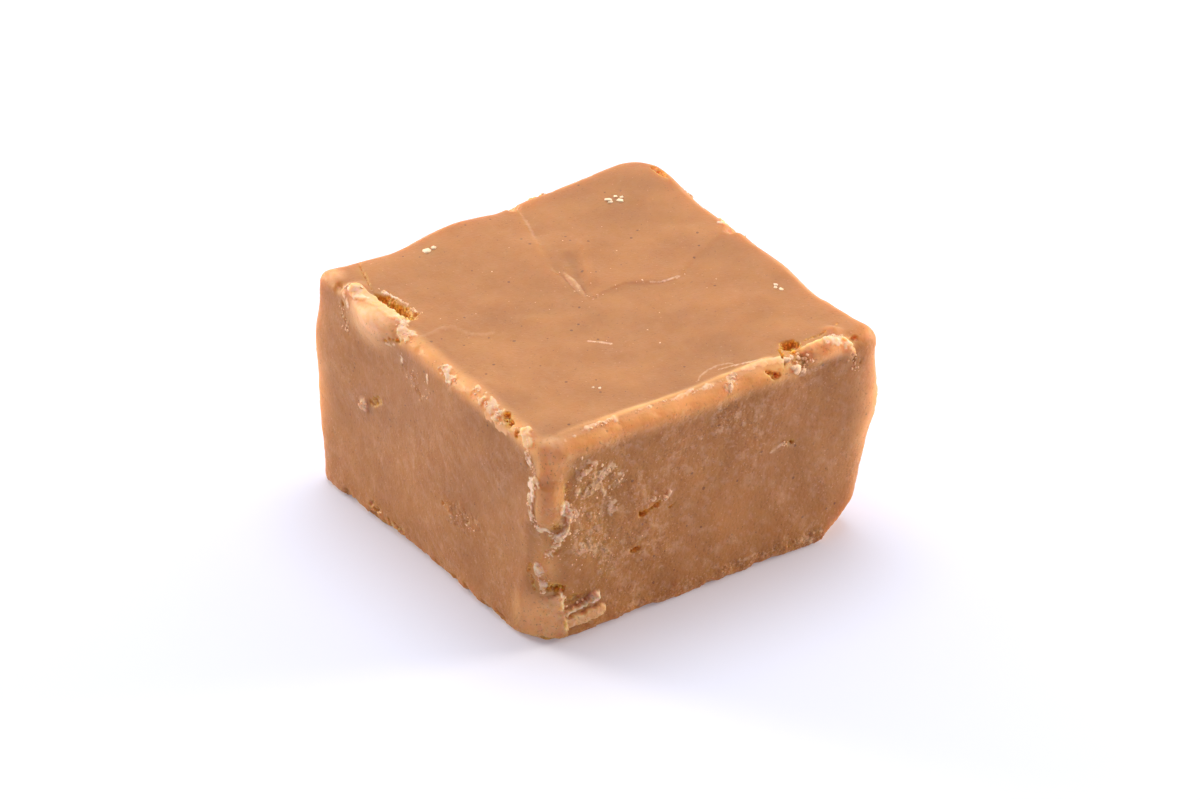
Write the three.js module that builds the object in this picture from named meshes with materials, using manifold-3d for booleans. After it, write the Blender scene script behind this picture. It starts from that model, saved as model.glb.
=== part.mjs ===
// A hand-cut cube of butter fudge: one solid block, poured as a slab and cut with a warm knife.
// Millimetres, +Z up. The block stands on z = 0 with its centre over the origin.
import * as THREE from 'three';
import { mergeVertices } from 'three/addons/utils/BufferGeometryUtils.js';
import Module from 'manifold-3d';

// Driving dimensions of the block.
const SIDE = 36;
const HEIGHT = 21.6;
const HALF = SIDE / 2;

// The poured top isn't level: it rises towards the back corner, by this much per millimetre.
const TOP_RISE_X = 0.021;
const TOP_RISE_Y = 0.048;

// Edges are softened by handling. Each top edge has a radius of its own, and blends into the next one
// over this distance either side of the corner.
const BASE_EDGE_RADIUS = 0.7;
const CORNER_BLEND = 3;

// Plan radius of each upright corner, at the top and at the base.
const CORNERS = [
  { x: -1, y: -1, top: 2.2, base: 4.0 },
  { x: 1, y: -1, top: 1.8, base: 2.7 },
  { x: 1, y: 1, top: 3.2, base: 2.6 },
  { x: -1, y: 1, top: 1.1, base: 1.8 },
];

// How each side stands off the plain square at its base, belly and top, and the radius of its top edge.
const SIDES = {
  left: { base: 0.7, belly: 0.5, top: 0.2, edge: 0.9 },
  right: { base: -0.2, belly: 1.1, top: 0.9, edge: 1.5 },
  front: { base: -0.05, belly: 0.3, top: 0.4, edge: 1.5 },
  back: { base: 0.4, belly: 1.0, top: 0.9, edge: 1.5 },
};
const BELLY_HEIGHT = 0.66;

// Slow unevenness of the faces, left by the knife and by the pour.
const WAVES = [
  { amplitude: 0.13, length: 19, turn: 0.4, phase: 0.9 },
  { amplitude: 0.07, length: 9.7, turn: 1.9, phase: 2.3 },
  { amplitude: 0.04, length: 5.9, turn: 1.1, phase: 4.1 },
];

// The grid of faces on the starting box, crowded towards the edges.
const PLAN_STEPS = 28;
const RISE_STEPS = 18;
const CROWDING = 0.45;

// The base corner that was clipped off on the front right, between these reaches along the edges.
const CLIP = { alongX: 5.6, alongY: 6.0, up: 4.8 };

// Lips of fudge that the knife pushed proud of the edges: where each lies, how far it spreads and its push.
const LIPS = [
  { at: [-17.9, 9.0, 20.8], spread: [2.2, 4.6, 2.6], push: [-0.75, 0, 0.35] },
  { at: [-17.2, 13.4, 21.8], spread: [1.6, 1.6, 1.6], push: [-0.1, 0, 0.6] },
  { at: [12.0, -17.6, 20.7], spread: [3.4, 1.8, 1.6], push: [0, -0.55, 0.5] },
  { at: [14.2, -16.7, 21.2], spread: [1.6, 1.6, 1.6], push: [0, 0, 0.6] },
  { at: [-17.6, -17.4, 15.4], spread: [1.7, 1.7, 4.2], push: [-0.35, -0.35, 0] },
  { at: [-3.0, -17.9, 20.8], spread: [14, 1.4, 1.2], push: [0, 0, 0.2] },
];

// Broad swells and hollows of the whole slab, in the same terms.
const SWELLS = [
  { at: [18, 18, 20], spread: [16, 16, 16], push: [0.3, 0.2, 0.4] },
  { at: [-10.5, 18, 22], spread: [8, 6, 6], push: [0, -0.3, -0.4] },
  { at: [18, -9.5, 21], spread: [5, 9, 6], push: [-0.5, 0, -0.2] },
  { at: [18, -18, 14], spread: [8, 8, 9], push: [0.4, -0.1, 0] },
  { at: [-18, 1, 0], spread: [4, 9, 5], push: [0.45, 0, 0] },
  { at: [1, 18, 21], spread: [4, 5, 4], push: [0, -0.1, -0.2] },
  { at: [18, 8, 21], spread: [5, 7, 5], push: [-0.35, 0, -0.15] },
];

// Torn gashes and pits: open cracks on the top, holes in the sides and peeled layers at the base.
const TEARS = [
  { at: [-15.7, 9.9, 21.9], half: [0.42, 3.9, 1.3], turn: 0.04 },
  { at: [-17.0, 5.3, 21.4], half: [1.1, 0.4, 0.7], turn: 0.5 },
  { at: [9.3, -16.7, 21.0], half: [0.75, 0.95, 1.4], turn: 0.2 },
  { at: [7.1, -18.1, 19.9], half: [0.8, 0.7, 0.45], turn: 0.0 },
  { at: [-6.4, -18.0, 10.9], half: [1.15, 0.8, 0.3], turn: 0.0, roll: -0.3 },
  { at: [-8.1, -17.7, 7.0], half: [0.5, 0.6, 0.28], turn: 0.0, roll: -0.5 },
  { at: [-14.0, -17.1, 2.2], half: [1.9, 0.8, 0.22], turn: 0.0, roll: -0.12 },
  { at: [-18.3, 8.8, 12.4], half: [0.5, 0.7, 0.5], turn: 0.0 },
];

// Notches where the seams of the folded slab run out through the back edges.
const NOTCHES = [
  { at: [3.1, 18.7, 22.8], half: [0.55, 1.1, 0.7], turn: 0.3 },
  { at: [18.5, 2.3, 22.4], half: [1.1, 0.6, 0.7], turn: -0.3 },
];

// How finely a hollow is faceted, and how far and how often its wall is jagged.
const HOLLOW_DETAIL = 2;
const JAG_DEPTH = 0.22;
const JAG_RATE = 5.3;

const FINISH = new THREE.MeshStandardMaterial({ color: '#c78a60', roughness: 0.55, metalness: 0 });
FINISH.name = 'fudge';

/** Crowds the grid lines towards the ends, where the edges curve. t runs from -1 to 1. */
function crowd(t) {
  return (1 - CROWDING) * t + CROWDING * Math.sin((t * Math.PI) / 2);
}

/** The radius of the top edge over a point, blending from one side's to the next across a corner. */
function topEdgeRadius(point) {
  const overX = (point.x < 0 ? SIDES.left : SIDES.right).edge;
  const overY = (point.y < 0 ? SIDES.front : SIDES.back).edge;
  const lead = Math.abs(point.x) - Math.abs(point.y);
  return THREE.MathUtils.lerp(overY, overX, THREE.MathUtils.smoothstep(lead, -CORNER_BLEND, CORNER_BLEND));
}

/** Pulls a point of the sharp box onto the same box with rounded top and base edges. */
function softenEdges(point) {
  const radius = THREE.MathUtils.lerp(BASE_EDGE_RADIUS, topEdgeRadius(point), point.z / HEIGHT);
  const reach = Math.max(Math.abs(point.x), Math.abs(point.y));
  const innerReach = Math.min(reach, HALF - radius);
  const innerRise = THREE.MathUtils.clamp(point.z, radius, HEIGHT - radius);
  const out = reach - innerReach;
  const up = point.z - innerRise;
  if (out > 0) {
    const stretch = radius / Math.hypot(out, up);
    const scale = (innerReach + out * stretch) / reach;
    point.set(point.x * scale, point.y * scale, innerRise + up * stretch);
  }
}

/** Turns the square plan of each upright corner into an arc whose radius changes with height. */
function roundCorners(point) {
  const corner = CORNERS.find((c) => c.x * point.x >= 0 && c.y * point.y >= 0);
  const radius = THREE.MathUtils.mapLinear(point.z, 0, HEIGHT, corner.base, corner.top);
  const along = corner.x * point.x - (HALF - radius);
  const across = corner.y * point.y - (HALF - radius);
  if (along <= 0 || across <= 0) {
    return;
  }
  const shrink = Math.max(along, across) / Math.hypot(along, across);
  point.x = corner.x * (HALF - radius + along * shrink);
  point.y = corner.y * (HALF - radius + across * shrink);
}

/** How far a side stands off the plain square at a height from 0 to 1: a curve through three offsets. */
function standOff(side, height) {
  const lower = Math.min(height / BELLY_HEIGHT, 1);
  const upper = Math.max((height - BELLY_HEIGHT) / (1 - BELLY_HEIGHT), 0);
  const rise = THREE.MathUtils.smoothstep(lower, 0, 1);
  const fall = THREE.MathUtils.smoothstep(upper, 0, 1);
  return side.base + (side.belly - side.base) * rise + (side.top - side.belly) * fall;
}

/** Leans and bellies the four sides, each in proportion to how near the point is to it. */
function bellySides(point) {
  const height = point.z / HEIGHT;
  const sideX = point.x < 0 ? SIDES.left : SIDES.right;
  const sideY = point.y < 0 ? SIDES.front : SIDES.back;
  point.x += (point.x / HALF) * standOff(sideX, height);
  point.y += (point.y / HALF) * standOff(sideY, height);
}

/** Tilts the top face, leaving the base level. */
function tiltTop(point) {
  point.z += (point.z / HEIGHT) * (TOP_RISE_X * point.x + TOP_RISE_Y * point.y);
}

/** A sum of slow waves over the two coordinates that run along a face. */
function unevenness(a, b) {
  return WAVES.reduce((sum, wave) => {
    const along = a * Math.cos(wave.turn) + b * Math.sin(wave.turn);
    return sum + wave.amplitude * Math.sin((along / wave.length) * 2 * Math.PI + wave.phase);
  }, 0);
}

/** Makes the faces uneven. The push fades to nothing at the base, so that the block stands flat. */
function rumple(point) {
  const { x, y, z } = point;
  const fade = THREE.MathUtils.smoothstep(z, 0, HEIGHT / 3);
  point.x += fade * (x / HALF) * unevenness(y, z);
  point.y += fade * (y / HALF) * unevenness(z, x);
  point.z += fade * (z / HEIGHT) * unevenness(x, y);
}

/** Pushes the swells and the lips out, each fading smoothly to nothing at its spread. */
function pushOut(point) {
  for (const { at, spread, push } of [...SWELLS, ...LIPS]) {
    const reach = Math.hypot(...point.toArray().map((value, axis) => (value - at[axis]) / spread[axis]));
    point.addScaledVector(new THREE.Vector3(...push), 1 - THREE.MathUtils.smoothstep(reach, 0, 1));
  }
}

/** The whole block before anything is torn out of it. */
function pouredBlock() {
  const box = new THREE.BoxGeometry(2, 2, 2, PLAN_STEPS, PLAN_STEPS, RISE_STEPS);
  const position = box.getAttribute('position');
  const point = new THREE.Vector3();
  for (let i = 0; i < position.count; i += 1) {
    point.fromBufferAttribute(position, i);
    point.set(crowd(point.x) * HALF, crowd(point.y) * HALF, ((crowd(point.z) + 1) / 2) * HEIGHT);
    for (const shape of [softenEdges, roundCorners, bellySides, rumple, tiltTop, pushOut]) {
      shape(point);
    }
    position.setXYZ(i, point.x, point.y, point.z);
  }
  return box;
}

/** The hollow that a torn lump leaves: a jagged ellipsoid, rolled about +Y and then turned about +Z. */
function hollow({ at, half, turn, roll = 0 }) {
  const ball = new THREE.IcosahedronGeometry(1, HOLLOW_DETAIL);
  const position = ball.getAttribute('position');
  const point = new THREE.Vector3();
  for (let i = 0; i < position.count; i += 1) {
    point.fromBufferAttribute(position, i);
    const jag = Math.sin(JAG_RATE * (point.x + at[0])) * Math.cos(JAG_RATE * (point.y - point.z));
    point.multiplyScalar(1 + JAG_DEPTH * jag);
    position.setXYZ(i, point.x, point.y, point.z);
  }
  ball.scale(...half);
  ball.rotateY(roll);
  ball.rotateZ(turn);
  ball.translate(...at);
  return ball;
}

/** The piece of the base corner that was clipped off: a box lying just outside the clipping plane. */
function clippedCorner() {
  const foot = new THREE.Vector3(HALF, -HALF, 0);
  const plane = new THREE.Plane().setFromCoplanarPoints(
    foot.clone().add(new THREE.Vector3(-CLIP.alongX, 0, 0)),
    foot.clone().add(new THREE.Vector3(0, CLIP.alongY, 0)),
    foot.clone().add(new THREE.Vector3(0, 0, CLIP.up)),
  );
  const outward = plane.normal.multiplyScalar(Math.sign(plane.distanceToPoint(foot)));
  const nearest = plane.projectPoint(foot, new THREE.Vector3());
  const waste = new THREE.BoxGeometry(SIDE, SIDE, SIDE);
  waste.translate(0, 0, HALF);
  waste.applyQuaternion(new THREE.Quaternion().setFromUnitVectors(new THREE.Vector3(0, 0, 1), outward));
  waste.translate(...nearest.toArray());
  return waste;
}

const wasm = await Module();
wasm.setup();

/** A closed geometry as a manifold solid, with its shared vertices merged. */
function toSolid(geometry) {
  const bare = geometry.clone();
  bare.deleteAttribute('normal');
  bare.deleteAttribute('uv');
  const merged = mergeVertices(bare, 1e-4);
  return new wasm.Manifold(new wasm.Mesh({
    numProp: 3,
    vertProperties: new Float32Array(merged.getAttribute('position').array),
    triVerts: new Uint32Array(merged.getIndex().array),
  }));
}

/** A manifold solid as a geometry, centred over the origin with its base on z = 0. */
function toGeometry(solid) {
  const { vertProperties, triVerts } = solid.getMesh();
  const geometry = new THREE.BufferGeometry();
  geometry.setAttribute('position', new THREE.BufferAttribute(vertProperties, 3));
  geometry.setIndex(new THREE.BufferAttribute(triVerts, 1));
  geometry.computeBoundingBox();
  const { min, max } = geometry.boundingBox;
  geometry.translate(-(min.x + max.x) / 2, -(min.y + max.y) / 2, -min.z);
  geometry.computeVertexNormals();
  return geometry;
}

let block = toSolid(pouredBlock());
for (const tear of [...TEARS, ...NOTCHES]) {
  block = block.subtract(toSolid(hollow(tear)));
}
block = block.subtract(toSolid(clippedCorner()));

const fudge = new THREE.Mesh(toGeometry(block), FINISH);
fudge.name = 'fudge_block';

const part = new THREE.Group();
part.add(fudge);

export default part;
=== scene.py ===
"""A hand-cut cube of butter fudge: its block, its torn places and the crumbs that cling to it.

Shapes are worked out in millimetres and written to the meshes in metres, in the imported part's own frame.
"""

import logging
import math
from dataclasses import dataclass
from enum import Enum
from functools import lru_cache, partial
from itertools import pairwise, product

import bmesh
import bpy
import numpy as np
from mathutils import Matrix, Quaternion, Vector


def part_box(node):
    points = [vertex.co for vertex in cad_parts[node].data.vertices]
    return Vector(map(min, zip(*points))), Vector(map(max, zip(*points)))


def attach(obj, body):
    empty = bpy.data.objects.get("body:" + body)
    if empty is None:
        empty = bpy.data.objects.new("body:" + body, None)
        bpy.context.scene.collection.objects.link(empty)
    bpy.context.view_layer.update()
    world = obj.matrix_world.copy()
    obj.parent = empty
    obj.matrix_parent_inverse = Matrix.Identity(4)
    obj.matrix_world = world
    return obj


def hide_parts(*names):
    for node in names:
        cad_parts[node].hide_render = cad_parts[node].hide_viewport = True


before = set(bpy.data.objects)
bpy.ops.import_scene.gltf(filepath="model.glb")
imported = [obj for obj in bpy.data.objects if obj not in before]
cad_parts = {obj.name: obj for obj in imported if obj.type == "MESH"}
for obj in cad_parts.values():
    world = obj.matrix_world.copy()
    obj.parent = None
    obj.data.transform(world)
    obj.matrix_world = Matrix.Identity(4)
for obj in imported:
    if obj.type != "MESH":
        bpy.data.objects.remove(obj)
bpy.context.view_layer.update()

MM = 0.001
NODE = "fudge_block"
BODY = "root"
LOG = logging.getLogger("fudge")

# rim is a painted glow along edges and corners, and amber is partly painted shade in hollows
MARKS = ("amber", "pale", "grain", "rim")  # the attributes that the block's material reads
LATTICE = 32  # cells along each side of a repeating random pattern
TOUCHING = 1e-6  # millimetres
NEAR_ZERO = 1e-9  # keeps a division safe

Point = tuple[float, float, float]
Path = tuple[Point, ...]
Colour = tuple[float, float, float, float]


# ---------------------------------------------------------------------------------------------------------
# Small numeric helpers
# ---------------------------------------------------------------------------------------------------------


def smoothstep(low: float, high: float, value: np.ndarray) -> np.ndarray:
    """Rises smoothly from 0 at low to 1 at high."""
    t = np.clip((value - low) / (high - low), 0.0, 1.0)
    return t * t * (3.0 - 2.0 * t)


@lru_cache(maxsize=None)
def lattice(seed: int, width: int) -> np.ndarray:
    """A repeating cube of random vectors of that width, from -1 to 1."""
    return np.random.default_rng(seed).uniform(-1.0, 1.0, (LATTICE, LATTICE, LATTICE, width))


def lattice_at(cells: np.ndarray, seed: int, width: int) -> np.ndarray:
    """The lattice's random vectors at whole-number cells."""
    x, y, z = (cells % LATTICE).T
    return lattice(seed, width)[x, y, z]


@dataclass(frozen=True)
class Ripple:
    """Smooth random relief.

    size is the width of one swell in millimetres, seed picks the pattern, and octaves is how many
    patterns are summed, each half as wide and half as strong as the one before.
    """

    size: float
    seed: int
    octaves: int = 1

    def over(self, points: np.ndarray) -> np.ndarray:
        """The relief at points.

        Args:
            points: places in millimetres, one row each.

        Returns:
            One value for each point, mostly from -1 to 1.
        """
        total = np.zeros(len(points))
        for octave in range(self.octaves):
            place = points * (2.0**octave / self.size)
            cell = np.floor(place).astype(np.int64)
            within = place - cell
            blend = within**3 * (within * (within * 6.0 - 15.0) + 10.0)
            for corner in product((0, 1), repeat=3):
                weight = np.prod(np.where(corner, blend, 1.0 - blend), axis=1)
                total += weight * lattice_at(cell + corner, self.seed + octave, 1)[:, 0] * 0.5**octave
        return total


@dataclass(frozen=True)
class Pebbles:
    """Many scattered grains.

    spacing is their mean distance in millimetres, seed picks the pattern, and wander is how far a
    grain strays from the middle of its cell, as a share of the cell.
    """

    spacing: float
    seed: int
    wander: float = 0.45

    def gap(self, points: np.ndarray) -> np.ndarray:
        """The distance from each point to the nearest grain.

        Args:
            points: places in millimetres, one row each.

        Returns:
            The distance as a share of the spacing, 0 at a grain's middle and about 1 between grains.
        """
        place = points / self.spacing
        cell = np.floor(place).astype(np.int64)
        nearest = np.full(len(points), np.inf)
        for step in product((-1, 0, 1), repeat=3):
            other = cell + step
            grain = other + 0.5 + self.wander * lattice_at(other, self.seed, 3)
            nearest = np.minimum(nearest, np.linalg.norm(grain - place, axis=1))
        return nearest


def linear(code: str) -> Colour:
    """An sRGB hex colour as linear red, green, blue and full alpha.

    Args:
        code: the colour as # and six digits.

    Returns:
        The four channels, from 0 to 1.
    """
    parts = [int(code[i : i + 2], 16) / 255.0 for i in (1, 3, 5)]
    channels = [c / 12.92 if c <= 0.04045 else ((c + 0.055) / 1.055) ** 2.4 for c in parts]
    return (*channels, 1.0)


# ---------------------------------------------------------------------------------------------------------
# The block's form: the same slab that the solid is cut from
# ---------------------------------------------------------------------------------------------------------


@dataclass(frozen=True)
class Corner:
    """An upright corner: the signs of its x and y, and its plan radius at the top and at the base."""

    x: int
    y: int
    top: float
    base: float


@dataclass(frozen=True)
class Side:
    """How far a side stands off the plain square at its base, belly and top, and its top edge's radius."""

    base: float
    belly: float
    top: float
    edge: float


@dataclass(frozen=True)
class Push:
    """A broad swell: where it is, how far it spreads along each axis, and which way it pushes."""

    at: Point
    spread: Point
    push: Point


@dataclass(frozen=True)
class Wave:
    """One slow wave over a face: its height, length, turn and phase."""

    amplitude: float
    length: float
    turn: float
    phase: float


@dataclass(frozen=True)
class SlabForm:
    """The poured and cut block without its torn places, in millimetres.

    corner_blend is how far from a corner the top edges of two sides start to blend, belly_height is
    where the sides stand out most, as a share of the height, and clip is how far the clipped base
    corner is cut back along x, along y and up.
    """

    side: float = 36.0
    height: float = 21.6
    top_rise: tuple[float, float] = (0.021, 0.048)
    base_edge_radius: float = 0.7
    corner_blend: float = 3.0
    belly_height: float = 0.66
    corners: tuple[Corner, ...] = (
        Corner(-1, -1, 2.2, 4.0),
        Corner(1, -1, 1.8, 2.7),
        Corner(1, 1, 3.2, 2.6),
        Corner(-1, 1, 1.1, 1.8),
    )
    left: Side = Side(0.7, 0.5, 0.2, 0.9)
    right: Side = Side(-0.2, 1.1, 0.9, 1.5)
    front: Side = Side(-0.05, 0.3, 0.4, 1.5)
    back: Side = Side(0.4, 1.0, 0.9, 1.5)
    waves: tuple[Wave, ...] = (
        Wave(0.13, 19.0, 0.4, 0.9),
        Wave(0.07, 9.7, 1.9, 2.3),
        Wave(0.04, 5.9, 1.1, 4.1),
    )
    pushes: tuple[Push, ...] = (
        Push((18, 18, 20), (16, 16, 16), (0.3, 0.2, 0.4)),
        Push((-10.5, 18, 22), (8, 6, 6), (0, -0.3, -0.4)),
        Push((18, -9.5, 21), (5, 9, 6), (-0.5, 0, -0.2)),
        Push((18, -18, 14), (8, 8, 9), (0.4, -0.1, 0)),
        Push((-18, 1, 0), (4, 9, 5), (0.45, 0, 0)),
        Push((1, 18, 21), (4, 5, 4), (0, -0.1, -0.2)),
        Push((18, 8, 21), (5, 7, 5), (-0.35, 0, -0.15)),
        Push((-17.9, 9.0, 20.8), (2.2, 4.6, 2.6), (-0.75, 0, 0.35)),
        Push((-17.2, 13.4, 21.8), (1.6, 1.6, 1.6), (-0.1, 0, 0.6)),
        Push((12.0, -17.6, 20.7), (3.4, 1.8, 1.6), (0, -0.55, 0.5)),
        Push((14.2, -16.7, 21.2), (1.6, 1.6, 1.6), (0, 0, 0.6)),
        Push((-17.6, -17.4, 15.4), (1.7, 1.7, 4.2), (-0.35, -0.35, 0)),
        Push((-3.0, -17.9, 20.8), (14, 1.4, 1.2), (0, 0, 0.2)),
    )
    clip: Point = (5.6, 6.0, 4.8)

    @property
    def half(self) -> float:
        """Half the block's nominal side."""
        return self.side / 2

    def shape(self, points: np.ndarray) -> np.ndarray:
        """Moves points of the sharp box onto the slab.

        Args:
            points: places on the surface of the sharp box that stands on z = 0.

        Returns:
            The same points on the rounded, leaning, uneven slab.
        """
        steps = (self.soften_edges, self.round_corners, self.belly_sides, self.rumple, self.tilt_top)
        for step in steps:
            points = step(points)
        for push in self.pushes:
            reach = np.linalg.norm((points - push.at) / push.spread, axis=1)
            points = points + (1.0 - smoothstep(0.0, 1.0, reach))[:, None] * np.array(push.push, float)
        return self.clip_corner(points)

    def edge_gap(self, rest: np.ndarray) -> np.ndarray:
        """How far each point on the sharp box is from that box's nearest edge.

        Args:
            rest: places on the surface of the sharp box.

        Returns:
            One distance for each point.
        """
        gaps = [
            self.half - np.abs(rest[:, 0]),
            self.half - np.abs(rest[:, 1]),
            np.minimum(rest[:, 2], self.height - rest[:, 2]),
        ]
        return np.sort(np.stack(gaps, axis=1), axis=1)[:, 1]

    def top_edge_radius(self, points: np.ndarray) -> np.ndarray:
        """The radius of the top edge over each point, blending across a corner from side to side.

        Args:
            points: places on the sharp box.

        Returns:
            One radius for each point.
        """
        over_x = np.where(points[:, 0] < 0, self.left.edge, self.right.edge)
        over_y = np.where(points[:, 1] < 0, self.front.edge, self.back.edge)
        lead = np.abs(points[:, 0]) - np.abs(points[:, 1])
        share = smoothstep(-self.corner_blend, self.corner_blend, lead)
        return over_y + (over_x - over_y) * share

    def soften_edges(self, points: np.ndarray) -> np.ndarray:
        """Rounds the top and base edges of the sharp box, each by its own radius.

        Args:
            points: places on the sharp box.

        Returns:
            The moved points.
        """
        z = points[:, 2]
        span = self.top_edge_radius(points) - self.base_edge_radius
        radius = self.base_edge_radius + span * z / self.height
        reach = np.abs(points[:, :2]).max(axis=1)
        inner_reach = np.minimum(reach, self.half - radius)
        inner_rise = np.clip(z, radius, self.height - radius)
        out, up = reach - inner_reach, z - inner_rise
        stretch = np.where(out > 0, radius / np.maximum(np.hypot(out, up), NEAR_ZERO), 1.0)
        scale = (inner_reach + out * stretch) / np.maximum(reach, NEAR_ZERO)
        return np.stack([points[:, 0] * scale, points[:, 1] * scale, inner_rise + up * stretch], axis=1)

    def round_corners(self, points: np.ndarray) -> np.ndarray:
        """Turns the square plan of each upright corner into an arc that changes with height.

        Args:
            points: places on the box with softened edges.

        Returns:
            The moved points.
        """
        out = points.copy()
        for corner in self.corners:
            rise = points[:, 2] / self.height
            limit = self.half - (corner.base + (corner.top - corner.base) * rise)
            along = corner.x * points[:, 0] - limit
            across = corner.y * points[:, 1] - limit
            here = (along > 0) & (across > 0)
            a, b = along[here], across[here]
            shrink = np.maximum(a, b) / np.hypot(a, b)
            out[here, 0] = corner.x * (limit[here] + a * shrink)
            out[here, 1] = corner.y * (limit[here] + b * shrink)
        return out

    def stand_off(self, side: Side, height: np.ndarray) -> np.ndarray:
        """How far a side stands off the plain square.

        Args:
            side: the side.
            height: heights as shares of the block's height, from 0 to 1.

        Returns:
            One offset for each height.
        """
        rise = smoothstep(0.0, self.belly_height, height)
        fall = smoothstep(self.belly_height, 1.0, height)
        return side.base + (side.belly - side.base) * rise + (side.top - side.belly) * fall

    def belly_sides(self, points: np.ndarray) -> np.ndarray:
        """Leans and bellies the four sides.

        Args:
            points: places on the box with rounded corners.

        Returns:
            The moved points.
        """
        height = points[:, 2] / self.height
        out = points.copy()
        for axis, low, high in ((0, self.left, self.right), (1, self.front, self.back)):
            place = points[:, axis]
            offset = np.where(place < 0, self.stand_off(low, height), self.stand_off(high, height))
            out[:, axis] += place / self.half * offset
        return out

    def unevenness(self, a: np.ndarray, b: np.ndarray) -> np.ndarray:
        """A sum of slow waves over a face.

        Args:
            a: the first coordinate along the face.
            b: the second coordinate along the face.

        Returns:
            One height for each pair of coordinates.
        """
        total = np.zeros(len(a))
        for wave in self.waves:
            along = a * math.cos(wave.turn) + b * math.sin(wave.turn)
            total += wave.amplitude * np.sin(along / wave.length * 2.0 * math.pi + wave.phase)
        return total

    def rumple(self, points: np.ndarray) -> np.ndarray:
        """Makes the faces uneven, fading to nothing at the base.

        Args:
            points: places on the bellied block.

        Returns:
            The moved points.
        """
        x, y, z = points.T
        fade = smoothstep(0.0, self.height / 3, z)
        moves = (
            fade * x / self.half * self.unevenness(y, z),
            fade * y / self.half * self.unevenness(z, x),
            fade * z / self.height * self.unevenness(x, y),
        )
        return points + np.stack(moves, axis=1)

    def tilt_top(self, points: np.ndarray) -> np.ndarray:
        """Tilts the top face, leaving the base level.

        Args:
            points: places on the uneven block.

        Returns:
            The moved points.
        """
        x, y, z = points.T
        lift = z / self.height * (self.top_rise[0] * x + self.top_rise[1] * y)
        return points + np.stack([0 * x, 0 * y, lift], axis=1)

    def clip_corner(self, points: np.ndarray) -> np.ndarray:
        """Presses whatever lies beyond the clipped base corner's plane back onto that plane.

        Args:
            points: places on the tilted block.

        Returns:
            The moved points.
        """
        along_x, along_y, up = self.clip
        normal = np.array([1 / along_x, -1 / along_y, -1 / up])
        foot = np.array([self.half - along_x, -self.half, 0.0])
        past = (points - foot) @ normal / (normal @ normal)
        return points - np.maximum(past, 0.0)[:, None] * normal


# ---------------------------------------------------------------------------------------------------------
# Torn places, lips and folds, with painted glow and amber that is partly painted shade
# ---------------------------------------------------------------------------------------------------------

NARROWEST = 1e-3  # how thin a tapered end gets, as a share of the width
PAINT_EDGE = 0.82  # where paint starts to fade, as a share of the width
GASH_WALL = 0.5  # where a gash's floor ends and its wall starts, as a share of the width
GASH_FLOOR = Ripple(0.35, 7)
FLAKE_LUMPS = 0.15  # how much of a flake's height its lumps take away
LUMPS = 0.4  # the same for every other ragged feature
LUMP_SIZE = 0.6  # as a share of the border's swells


class Relief(Enum):
    """How a feature's height runs from its middle to its border."""

    GASH = "steep walls and a rough floor"
    CRACK = "a sharp V"
    LIP = "a rounded ridge"
    PLATE = "a flat layer with a sharp border"
    DOME = "a soft swell"
    STEP = "one side stands above the other"
    STAIN = "no relief"


@dataclass(frozen=True)
class Paint:
    """How strongly a feature marks the surface: torn amber, partly painted shade; dry and pale; grainy; or
    painted glow.
    """

    amber: float = 0.0
    pale: float = 0.0
    grain: float = 0.0
    rim: float = 0.0


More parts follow.
